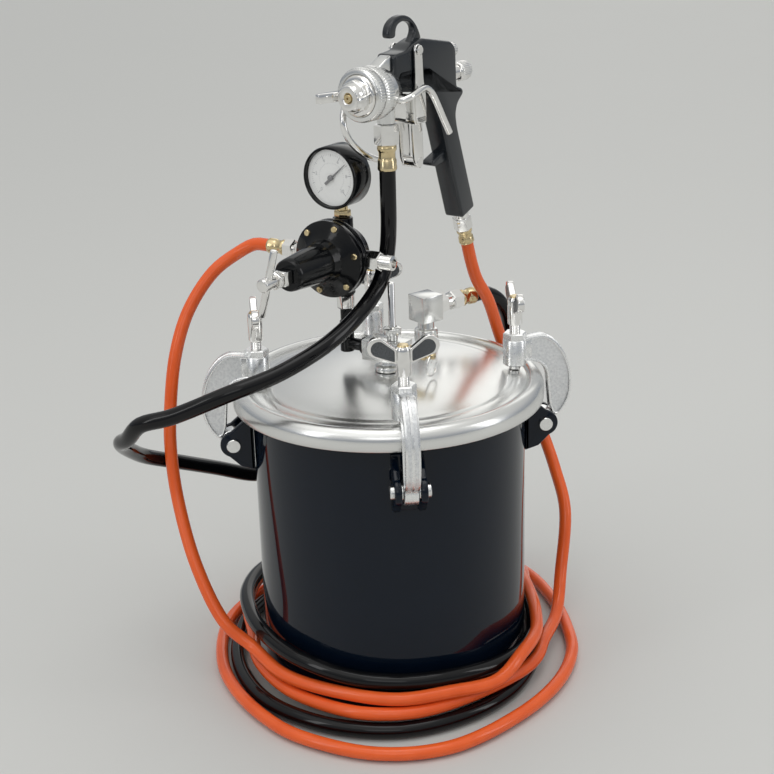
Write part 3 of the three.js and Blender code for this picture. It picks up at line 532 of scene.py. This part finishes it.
# The arm's raised rim cut through, as (inset from the outline, distance across the arm).
RIM = [
    (1, -6.5), (0.3, -6.2), (0, -5.5), (0.1, -1.6), (-0.6, -1), (-0.6, 1), (0.1, 1.6), (0, 5.5), (0.3, 6.2),
    (1, 6.5), (1.9, 6.5), (2.4, 6.1), (2.6, 5.3), (2.6, -5.3), (2.4, -6.1), (1.9, -6.5),
]
WING = eased([(5, 335), *arc(22, 350.5, 8.5, -65, 115, 15), (5, 347.5)], 2)
for side, degrees in CLAMPS.items():
    turn = rad(degrees)
    way = Vector((math.cos(turn), math.sin(turn), 0))
    across = way.cross(UP)
    flat = Matrix((way, UP, across)).transposed().to_4x4()

    def at(out, height, beside=0.0, side=side):
        return at_clamp(side, out, height, beside)

    eye = arc(*PIVOT, 12, -70, 80, 24)
    ear = eased([(TANK_SIDE, 205), (138, 209), *eye, (TANK_SIDE, 260)], 1.5, 2)
    web = eased([(TANK_SIDE, 205), (129, 207), (129, 258), (TANK_SIDE, 260)], 0.8, 2)
    pin_head = [(0, 13), (6.4, 13), (6.4, 16.8), (5.8, 17.5), (0, 17.5)]
    pins = []
    for s in (1, -1):
        pins += [("pin_steel", turned(pin_head, axes_at(at(*PIVOT), across * s), 40)),
                 ("pin_steel", rod(at(*PIVOT, s * 6.8), at(*PIVOT, s * 8.3), 7.6))]
    piece(f"lug_{side}_plates", "pot", "black_paint", soft_plate(ear, LUG_INSIDE, LUG_OUTSIDE, flat, 1.2),
          soft_plate(ear, -LUG_OUTSIDE, -LUG_INSIDE, flat, 1.2),
          soft_plate(web, -LUG_OUTSIDE, LUG_OUTSIDE, flat, 0.8), rod(at(*PIVOT, -10), at(*PIVOT, 10), 4.9),
          replaces=(f"lug_{side}",), extra=pins)

    boss_at = axes_at(at(SCREW_OUT, 0), UP)
    boss = [(5.5, SEAT), (10.2, SEAT), (11, 287.2), (11, 310), (10.2, BOSS_TOP), (5.5, BOSS_TOP), (5.5, SEAT)]
    eyelet = [(5.2, -6.5), (10.7, -6.5), (11.5, -5.8), (11.5, 5.8), (10.7, 6.5), (5.2, 6.5), (5.2, -6.5)]
    lower_root = [(149, 226), (140, 237), (150, 240), (158, 236)]
    upper_root = [(124, 292), (124, 309), (133, 311), (133, 291)]
    piece(f"arm_{side}_casting", f"arm_{side}", "cast_alloy", swept(eased(CRESCENT, 3, 2), RIM, flat, True),
          turned(boss, boss_at, 56), hexagon(at(SCREW_OUT, 310.5), at(SCREW_OUT, 317), 19),
          turned(eyelet, axes_at(at(*PIVOT), across), 48),
          soft_plate(lower_root, -ARM_HALF, ARM_HALF, flat, 1),
          soft_plate(upper_root, -ARM_HALF, ARM_HALF, flat, 1), replaces=(f"arm_{side}",),
          extra=[("pebbled", plate(eased(CRESCENT, 3, 2), -4.5, 4.5, flat))])
    foot = [(0, 281.8), (4.6, 281.8), (5.2, 282.3), (5.2, 285.9), (4.7, SEAT), (0, SEAT)]
    piece(f"clamp_foot_{side}", f"foot_{side}", "pin_steel", turned(foot, boss_at, 40),
          replaces=(f"foot_{side}",))
    ridges = [(5 - 0.35 * (i % 2), 286.7 + i * SCREW_PITCH / 2) for i in range(52)]
    thread = [(0, 286.7), *ridges, (0, 326)]
    sleeve = [(0, 324.9), (6.2, 324.9), (6.75, 325.6), (6.75, 346), (6.3, 349), (5.4, 350.4), (0, 350.4)]
    cap = [(0, 349), (5.2, 349), (5.2, 350.6), (4.3, 351.8), (0, 352)]
    lobes, recess_shade_plates = [], []
    for s in (1, -1):
        face = Matrix((-across * s, UP, way * -s)).transposed().to_4x4()
        face.translation = way * SCREW_OUT
        middle = Vector((15.5, 345.8))
        small = [tuple(middle + (Vector(p) - middle) * 0.78) for p in WING]
        lobes.append(soft_plate(WING, -3, 3, face, 0.9))
        # A dark textured plate a hair proud of each wing face stands in for its recess: the darkness is
        # painted recess shade over the recess's own textured finish.
        recess_shade_plates.append(("shadow_grey", plate(small, -3.1, 3.1, face)))
    piece(f"wing_screw_{side}", f"screw_{side}", "chrome", turned(thread, boss_at, 28),
          turned(sleeve, boss_at, 40), *lobes, replaces=(f"screw_{side}",),
          extra=[*recess_shade_plates, ("brass", turned(cap, boss_at, 32))])

# ---------------- fittings on the lid ----------------
BLOCK_TURN = rad(-37)
ALONG = Vector((math.cos(BLOCK_TURN), math.sin(BLOCK_TURN), 0))
SHAFT_AT = ALONG * 6
PORT = reg(-20)
PORT_LEVEL = 308.5


def upright(x, y, profile, sides=40):
    """A profile turned about the vertical line through (x, y)."""
    return turned(profile, Matrix.Translation((x, y, 0)), sides)


def brick(centre, along, length, width, low, high):
    """A box that stands upright on its centre, turned to lie along a direction."""
    flat = Matrix((along, UP.cross(along), UP)).transposed().to_4x4()
    flat.translation = Vector((centre[0], centre[1], 0))
    x, y = length / 2, width / 2
    return plate([(-x, -y), (x, -y), (x, y), (-x, y)], low, high, flat)


collar = [(0, 288.8), (12, 288.8), (12, 292.6), (10.8, 294), (7.5, 294.4), (7.5, 299.5), (0, 299.5)]
piece("centre_block", "pot", "lid_steel", brick((0, 0), ALONG, 40, 24, 299, 318), upright(0, 0, collar),
      bevel=0.9, replaces=("manifold",))
gland = [(4.3, 318.3), (5, 318.3), (5, 324), (8.2, 324), (8.2, 329.5), (5, 331), (4.3, 331), (4.3, 318.3)]
piece("shaft_gland", "pot", "lid_steel", upright(SHAFT_AT.x, SHAFT_AT.y, gland), bevel=0.4,
      replaces=("gland_nut",))
piece("stirrer_shaft", "agitator", "chrome",
      upright(SHAFT_AT.x, SHAFT_AT.y, [(0, 34), (3.2, 34.6), (3.2, 371), (2.6, 372), (0, 372)], 32),
      replaces=("agitator_shaft",))
refined("agitator_paddle", 0.6)
start = -ALONG * 20.3 + UP * PORT_LEVEL
low = Vector((PORT.x, PORT.y, PORT_LEVEL))
bend = (low - start).normalized()
thread = [(0, 0)] + [(8 - 0.5 * (i % 2), i * 0.7) for i in range(8)] + [(0, 5.2)]
piece("riser_elbow", "pot", "black_satin", rod(start, low, 5.5), rod(low - UP * 7, low + UP * 21.5, 6.5),
      rod(low + UP * 20, low + UP * 38, 5.5), bevel=0.6, replaces=("riser",),
      extra=[("chrome", turned(thread, axes_at(start, bend), 36)),
             ("chrome", hexagon(low + UP * 33.5, low + UP * 47.5, 14))])


def relief(distance, z=PORT_LEVEL):
    """A place on the relief valve's axis."""
    return ALONG * distance + UP * z


piece("relief_valve_body", "pot", "brass", hexagon(relief(20.3), relief(30), 12.5),
      rod(relief(29.5), relief(40), 5), bevel=0.4, replaces=("relief_valve",))
refined("relief_stem", 0.3)
RING_RADIUS = 9.3
ring_at = axes_at(relief(46, PORT_LEVEL - 9), ALONG)
piece("relief_pull_ring", "relief_loop", "chrome",
      turned(arc(RING_RADIUS, 0, 0.9, 0, 360, 12), ring_at, 48), replaces=("relief_ring",))

# ---------------- fluid outlet ----------------
collar = [(0, 286.5), (11.5, 286.5), (11.5, 297.6), (10.2, 299), (8, 299.2), (8, 307.4), (0, 307.4)]
piece("outlet_block", "pot", "lid_steel", brick(OUT_AT, OUT_WAY, 24, 24, 307, 333),
      upright(OUT_AT.x, OUT_AT.y, collar), bevel=0.9, replaces=("outlet_elbow",))
piece("outlet_pipe_nuts", "pot", "chrome", hexagon(outlet(12.3), outlet(23), 18),
      rod(outlet(22), outlet(31), 6.5), hexagon(outlet(30), outlet(42.2), 17), replaces=("outlet_nut",))
suction = [(4.5, 8), (6, 12), (6, 299.5), (4.5, 299.5), (4.5, 8)]
piece("suction_tube", "pot", "lid_steel", upright(OUT_AT.x, OUT_AT.y, suction, 32), replaces=("dip_tube",))

# ---------------- regulator and gauge ----------------
REG_AXES = axes_at(reg(0), REG_FRONT)
behind = [(0, -34), (17, -34), (24, -26), (26, -8), (34, -7.2), (35, -6), (35, -0.3), (0, -0.3)]
boss = [rod(reg(PORTS_AT, -36), reg(PORTS_AT, 36), 8.5), rod(reg(-20, 0, -37.5), reg(-20, 0, 33), 9.2)]
piece("regulator_casting", "pot", "black_satin", turned(behind, REG_AXES, 72), *boss, bevel=0.7,
      replaces=("regulator_body",))
screws = []
for i in range(6):
    turn = rad(60 * i + 12)
    spot = reg(0, 30 * math.cos(turn), 30 * math.sin(turn))
    head = [(0, 6), (3.1, 6), (3.1, 7.6), (2.4, 8.5), (0, 8.7)]
    screws.append(("brass", turned(head, axes_at(spot, REG_FRONT), 20)))
cover = [(0, 0), (34.6, 0), (35, 0.6), (35, 5.2), (34.2, 6), (26, 8), (20, 12), (17.8, 20), (0, 20)]
plain = [(0, 19), (17.8, 19), (17, 33), (0, 33.5)]
nose = [(0, 32), (17, 32), (16, 45), (14.8, 60), (14.2, 64.6), (13.2, 66), (0, 66)]
piece("bonnet_casting", "pot", "black_satin", turned(cover, REG_AXES, 96), turned(plain, REG_AXES, 96),
      turned(nose, REG_AXES, 96), replaces=("bonnet",), angle=38, extra=screws)
barrel = [(0, 86), (5.2, 86), (6, 86.8), (6, 101.2), (5.2, 102), (0, 102)]
piece("tee_handle_screw", "tee_handle", "chrome", turned(barrel, REG_AXES, 36),
      rod(reg(52), reg(88), 4.6), hexagon(reg(79), reg(85), 14.6),
      plate([(-6.3, -6.3), (6.3, -6.3), (6.3, 6.3), (-6.3, 6.3)], 67, 77.5, REG_AXES),
      rod(reg(93.5, 8.6, 30), reg(93.5, -8.6, -30), 3.2), bevel=0.6, replaces=("regulator_handle",))
refined("spring_button", 0.4)
nip_thread = [(0, 0)] + [(6.6 - 0.45 * (i % 2), i * 0.7) for i in range(19)] + [(4, 13.4), (4, 6), (0, 6)]
piece("air_inlet_nipple", "pot", "chrome", hexagon(reg(PORTS_AT, 36.3), reg(PORTS_AT, 47), 15.5),
      turned(nip_thread, axes_at(reg(PORTS_AT, 46.6), REG_RIGHT), 36), replaces=("nipple",))
piece("air_outlet_nuts", "pot", "chrome", hexagon(reg(PORTS_AT, -43), reg(PORTS_AT, -36.3), 15),
      rod(reg(PORTS_AT, -42), reg(PORTS_AT, -47.5), 6),
      hexagon(reg(PORTS_AT, -57.5), reg(PORTS_AT, -46.5), 15.5), replaces=("air_out_nut",))
GAUGE_AT = Vector((PORT.x, PORT.y, 465.5))
GAUGE_AXES = Matrix((REG_RIGHT, UP, REG_FRONT)).transposed().to_4x4()
GAUGE_AXES.translation = GAUGE_AT
case = [(0, -9), (24, -9), (26.5, -8), (28, -6), (28, 17.6), (27.4, 18.8), (26.3, 19), (25.5, 18.4),
        (25.5, 13.5), (0, 13.5)]
piece("gauge_housing", "pot", "black_satin", turned(case, GAUGE_AXES, 96), replaces=("gauge_case",))


def on_dial(angle, radius, z):
    """A place on the gauge's face, with the angle in degrees."""
    return GAUGE_AXES @ Vector((radius * math.cos(rad(angle)), radius * math.sin(rad(angle)), z))


DIAL_START, DIAL_SWEEP = 225, 270
DIAL_TOP, HAND_LEVEL = 15, 16
NUMBER_SIZE = 4.2
marks = []
for i in range(51):
    angle = DIAL_START - DIAL_SWEEP / 50 * i
    start = 17.6 if i % 10 == 0 else 19.0 if i % 5 == 0 else 19.8
    width = 0.26 if i % 5 == 0 else 0.12
    flat = GAUGE_AXES @ Matrix.Rotation(rad(angle), 4, "Z")
    mark = [(start, -width), (21.2, -width), (21.2, width), (start, width)]
    marks.append(("dial_grey", plate(mark, DIAL_TOP - 0.02, DIAL_TOP + 0.1, flat)))
for i in range(37):
    flat = GAUGE_AXES @ Matrix.Rotation(rad(DIAL_START - DIAL_SWEEP / 36 * i), 4, "Z")
    mark = [(12.6, -0.1), (13.6, -0.1), (13.6, 0.1), (12.6, 0.1)]
    marks.append(("dial_grey", plate(mark, DIAL_TOP - 0.02, DIAL_TOP + 0.08, flat)))
face = [(0, 13.8), (25.2, 13.8), (25.2, DIAL_TOP), (0, DIAL_TOP)]
piece("gauge_face", "pot", "dial_white", turned(face, GAUGE_AXES, 72), replaces=("gauge_dial",), extra=marks)
for i in range(6):
    letters = bpy.data.curves.new(f"number_{i}", "FONT")
    letters.body, letters.size, letters.extrude = str(2 * i), NUMBER_SIZE * MM, 0.05 * MM
    letters.align_x, letters.align_y = "CENTER", "CENTER"
    letters.materials.append(LOOKS["dial_grey"])
    number = bpy.data.objects.new(f"dial_number_{i}", letters)
    bpy.context.scene.collection.objects.link(number)
    spot = GAUGE_AXES.copy()
    radius = 16.2 if i not in (0, 5) else 15.6
    spot.translation = on_dial(DIAL_START - DIAL_SWEEP / 5 * i, radius, DIAL_TOP + 0.04) * MM
    number.matrix_world = spot
    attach(number, "pot")
hand = plate([(-7, -5.2), (-5.2, -7), (15.5, 12.9), (15.2, 13.2)], HAND_LEVEL, HAND_LEVEL + 0.6, GAUGE_AXES)
centre_cap = [(0, HAND_LEVEL), (2.6, HAND_LEVEL), (2.6, 17.6), (2, 18), (0, 18)]
piece("gauge_hand", "dial_pointer", "needle_black", hand, turned(centre_cap, GAUGE_AXES, 28),
      replaces=("gauge_needle",))
piece("gauge_shank", "pot", "brass", hexagon((PORT.x, PORT.y, 427.3), (PORT.x, PORT.y, 434), 13),
      upright(PORT.x, PORT.y, [(0, 433), (5, 433), (5, 437.2), (0, 437.2)]), replaces=("gauge_stem",))

# ---------------- spray gun ----------------
BARREL = axes_at(gun(0), AHEAD)
FLANK = Matrix((AHEAD, UP, -ASIDE)).transposed().to_4x4()
FLANK.translation = GUN_AT
# The gun seen from its side, as (ahead, up) from the middle of the barrel.
BODY = [
    (-2, 29), (-2, -5), (-9, -4), (-9, 11), (-44, 11), (-54, 9), (-57, -5), (-65, -25), (-73, -45),
    (-102.5, -133.7), (-123.5, -126.4), (-96, -46), (-94, -35), (-97, -26), (-107, -18), (-105.5, -13),
    (-96, -10.5), (-95, 24), (-88, 30.5), (-44, 38.5), (-30, 35), (-20, 30.5),
]
HOOK = [
    (-2, 42), (-2.2, 49), (-6, 55), (-14, 59), (-24, 60.2), (-34, 57.5), (-43, 50.5), (-49, 41), (-50, 35),
    (-48, 30), (-26, 30), (-33.5, 35), (-39.5, 41.5), (-41, 46.5), (-38, 51), (-31, 54), (-23, 54.8),
    (-15.5, 52.5), (-12.6, 48), (-12.4, 42),
]
TANG = [(-84, -65), (-62, -72.5), (-60, -76), (-66, -78.5), (-86, -76)]
piece("gun_body_casting", "pot", "gun_paint", soft_plate(eased(BODY, 3.5), -10, 10, FLANK, 2.4),
      soft_plate(eased(HOOK, 4.5), -3.8, 3.8, FLANK, 1.5), soft_plate(eased(TANG, 2), -6, 6, FLANK, 1.4),
      replaces=("gun_body",))


def legs(outline, low, high, soft):
    """The same cheek on both sides of the gun."""
    return [soft_plate(outline, *sorted((s * low, s * high)), FLANK, soft) for s in (1, -1)]


# The trigger's cheeks: the upper ones outside the body, the lower ones under it, and a shoulder between.
UPPER_LEG, LOWER_LEG = (11, 13.6), (5.5, 8.5)
TRIGGER_PIVOT = gun(-31.5, 30)
upper = [
    (-36.5, 30), (-35, 34), (-31.5, 35.5), (-28, 34), (-26.5, 30), (-27, 24), (-26.5, -10), (-27.5, -32),
    (-42, -34), (-42, -20), (-41.5, -8), (-38.5, 4), (-37.5, 24),
]
lower = [(-27.2, -28), (-30, -66), (-33, -72), (-40, -73.5), (-43.5, -69), (-42.5, -34), (-41, -28)]
front = [(-26.6, -7), (-24.4, -9), (-25.4, -30), (-27.4, -34), (-31, -34), (-28.6, -9)]
shoulder = [(-26.6, -27), (-27.5, -33), (-42, -33), (-41.5, -27)]
piece("trigger_lever", "gun_trigger", "chrome", *legs(eased(upper, 3), *UPPER_LEG, 0.8),
      *legs(eased(lower, 3), *LOWER_LEG, 0.9), *legs(eased(shoulder, 1), LOWER_LEG[0], UPPER_LEG[1], 0.7),
      soft_plate(eased(front, 1.2), -12, 12, FLANK, 0.7),
      turned([(0, -9), (4, -9), (5, -8), (5, 8), (4, 9), (0, 9)], axes_at(gun(-37.5, -69), ASIDE), 40),
      replaces=("trigger",))
pivot = [
    (0, -16), (3.4, -16), (4.2, -15.2), (4.2, -13.9), (2.3, -13.9), (2.3, 13.9), (4.2, 13.9), (4.2, 15.2),
    (3.4, 16), (0, 16),
]
piece("trigger_pivot", "pot", "chrome", turned(pivot, axes_at(TRIGGER_PIVOT, ASIDE), 40),
      replaces=("trigger_pin",))
casting = [(0, -1.7), (15.6, -1.7), (16.4, -1), (20, 7.6), (20.7, 9), (21, 15.6), (0, 15.6)]
fin = eased([(-1.7, -5), (-1.7, 29), (4, 27), (16, 21), (16, 0)], 1.5)
piece("head_casting", "pot", "lid_steel", turned(casting, BARREL, 72), soft_plate(fin, -6, 6, FLANK, 1.5),
      turned([(0, 10), (7.4, 10), (8, 10.6), (8, 28.4), (7.4, 29), (0, 29)], axes_at(gun(0), -UP), 48),
      rod(gun(-14), gun(0), 5.2), rod(gun(15), gun(22), 18), replaces=("gun_head",),
      extra=[("chrome", hexagon(gun(-17), gun(-9.3), 12))])
knurl = [
    (18.2, 22.3), (19, 22.3), (19, 16.3), (22.4, 16.3), (23, 17), (23, 27), (22.2, 27.6), (22.2, 28.6),
    (23, 29.2), (23, 35.5), (22.3, 37.2), (21, 38), (18.2, 38), (18.2, 22.3),
]
piece("knurled_ring", "cap_and_ring", "lid_steel", turned(knurl, BARREL, 240, ripple=(60, 0.55, 22.6)),
      replaces=("retaining_ring",), angle=60)
disc = [(0, 24), (17.5, 24), (17.5, 38.4), (16.6, 39.6), (15, 40.2), (0, 40.2)]
hub = [(3.8, 45), (12.6, 45), (12.4, 47), (10.6, 52.4), (9.8, 53), (5.2, 53), (3.8, 51.5), (3.8, 45)]
horns = []
level = Matrix((AHEAD, ASIDE, AHEAD.cross(ASIDE))).transposed().to_4x4()
level.translation = gun(0)
for s in (1, -1):
    outline = [(41, s * 9.5), (64, s * 18), (66, s * 20), (66, s * 23.5), (62, s * 23.5), (41, s * 16.5)]
    horns.append(plate(outline, -4, 4, level))
eight = turned([(0, 40), (14.4, 40), (14.4, 45), (13.6, 46), (0, 46)], BARREL, 8)
band = [(16.7, 37), (17.9, 37), (17.9, 38.7), (16.7, 38.7), (16.7, 37)]
piece("air_cap_body", "cap_and_ring", "chrome", turned(disc, BARREL, 64), eight, turned(hub, BARREL, 64),
      *horns, bevel=0.7, replaces=("air_cap",), extra=[("brass", turned(band, BARREL, 64))])
tip = [(0, 22.3), (3.4, 22.3), (3.4, 52.6), (3, 53.2), (0.9, 53.2), (0.9, 50), (0, 50)]
piece("nozzle_tip", "pot", "brass", turned(tip, BARREL, 32), replaces=("fluid_nozzle",))
refined("fluid_needle", 0.2)
refined("air_valve_stem", 0.3)
knob = [(0, -126), (5.4, -126), (7.6, -124.6), (9, -122), (9, -111), (8.2, -109.6), (6.3, -108.6),
        (6.3, -98), (0, -98)]
piece("fluid_control_knob", "fluid_adjuster", "chrome", turned(knob, BARREL, 192, ripple=(32, 0.5, 8.6)),
      replaces=("fluid_knob",), angle=50)
KNOB_AXES = axes_at(gun(0, 21), AHEAD)
small = [(0, -104), (5.4, -104), (6.5, -103), (6.5, -97.4), (6, -96.6), (0, -96.3)]
piece("pattern_control_knob", "pattern_adjuster", "chrome",
      turned(small, KNOB_AXES, 144, ripple=(24, 0.4, 6.3)), replaces=("pattern_knob",), angle=50)
REST = [
    (-66, -46, 21), (-56, -31, 21), (-47, -17, 21), (-38, -6, 21.5), (-28, -1, 22.5), (-12, -1, 27),
    (2, -4, 28), (8, -6.5, 23), (8, -6.5, 12), (8, -6.5, 0), (8, -6.5, -12), (8, -6.5, -24), (13, -8, -29),
    (20, -12.5, -28), (25.5, -20, -26.5), (27.3, -30, -25), (23, -41, -23.3), (12.6, -51.9, -21),
    (2.2, -58.9, -19), (-8, -63.5, -17.5),
]
tube("rest_rod", [gun(*p) for p in REST], 3, "chrome", "pot", "rest_wire", 6)
piece("gun_fluid_hexagon", "pot", "chrome", hexagon(gun(0, -47.5), gun(0, -29.3), 19),
      replaces=("gun_fluid_nut",))
piece("gun_air_hexagon", "pot", "chrome", rod(inlet(0.3), inlet(5.5), 7.6),
      hexagon(inlet(5), inlet(19), 15.5), bevel=0.4, replaces=("gun_air_nut",))

# ---------------- stage and light ----------------
FLOOR_HALF, FLOOR_AT = 40, -0.0005
corners = [(x * FLOOR_HALF, y * FLOOR_HALF, FLOOR_AT) for x, y in ((-1, -1), (1, -1), (1, 1), (-1, 1))]
ground = bpy.data.meshes.new("ground")
ground.from_pydata(corners, [], [(0, 1, 2, 3)])
ground.materials.append(LOOKS["floor"])
floor = bpy.data.objects.new("ground", ground)
bpy.context.scene.collection.objects.link(floor)
world = bpy.data.worlds.new("world")
bpy.context.scene.world = world
world.use_nodes = True
sky_tree = world.node_tree
# The room: darker near the horizon, pale overhead, with one soft window behind the object.
WINDOW = (0.315, 0.879, 0.358)
WINDOW_COLOR = (1.25, 1.25, 1.22)
heading = sky_tree.nodes.new("ShaderNodeTexCoord")
split = sky_tree.nodes.new("ShaderNodeSeparateXYZ")
sky_tree.links.new(heading.outputs["Generated"], split.inputs["Vector"])
shades = sky_tree.nodes.new("ShaderNodeValToRGB")
UNDER_HORIZON = (0.54, 0.54, 0.53)
ZENITH = (0.80, 0.80, 0.78)
SKY = [(0.01, (0.24, 0.27, 0.31)), (0.16, (0.34, 0.36, 0.39)), (0.42, (0.55, 0.56, 0.56))]
shades.color_ramp.elements[0].color = (*UNDER_HORIZON, 1)
shades.color_ramp.elements[1].color = (*ZENITH, 1)
for height, color in SKY:
    stop = shades.color_ramp.elements.new(height)
    stop.color = (*color, 1)
sky_tree.links.new(split.outputs["Z"], shades.inputs["Fac"])
facing = sky_tree.nodes.new("ShaderNodeVectorMath")
facing.operation = "DOT_PRODUCT"
facing.inputs[1].default_value = WINDOW
sky_tree.links.new(heading.outputs["Generated"], facing.inputs[0])
glow = sky_tree.nodes.new("ShaderNodeMapRange")
glow.interpolation_type = "SMOOTHSTEP"
glow.inputs["From Min"].default_value, glow.inputs["From Max"].default_value = 0.93, 0.985
glow.inputs["To Max"].default_value = 1.0
sky_tree.links.new(facing.outputs["Value"], glow.inputs["Value"])
lit = sky_tree.nodes.new("ShaderNodeMix")
lit.data_type = "RGBA"
lit.inputs["B"].default_value = (*WINDOW_COLOR, 1)
sky_tree.links.new(glow.outputs["Result"], lit.inputs["Factor"])
sky_tree.links.new(shades.outputs["Color"], lit.inputs["A"])
sky_tree.links.new(lit.outputs["Result"], sky_tree.nodes["Background"].inputs["Color"])
sky_tree.nodes["Background"].inputs["Strength"].default_value = 1.0


def lamp(name, spot, size, power, aim=(0, 0, 0.3)):
    """A soft box at a spot in metres, turned to the middle of the object."""
    data = bpy.data.lights.new(name, "AREA")
    data.shape, data.size, data.size_y, data.energy = "RECTANGLE", size[0], size[1], power
    made = bpy.data.objects.new(name, data)
    bpy.context.scene.collection.objects.link(made)
    made.location = spot
    made.rotation_euler = (Vector(aim) - Vector(spot)).to_track_quat("-Z", "Y").to_euler()


lamp("overhead", (0.1, -0.2, 2.8), (1.6, 1.2), 7)
lamp("left_box", (-2.2, -1.2, 1.4), (0.45, 1.6), 6)
lamp("right_box", (2.3, -0.9, 1.2), (0.45, 1.6), 6)
lamp("front_fill", (-0.6, -3.0, 1.9), (1.6, 0.9), 5)
sky = bpy.data.lights.new("broad_sun", "SUN")
sky.energy, sky.angle = 0.42, 1.2
sun = bpy.data.objects.new("broad_sun", sky)
bpy.context.scene.collection.objects.link(sun)
sun.rotation_euler = (rad(14), rad(-12), 0)
bpy.context.scene.view_settings.view_transform = "Standard"
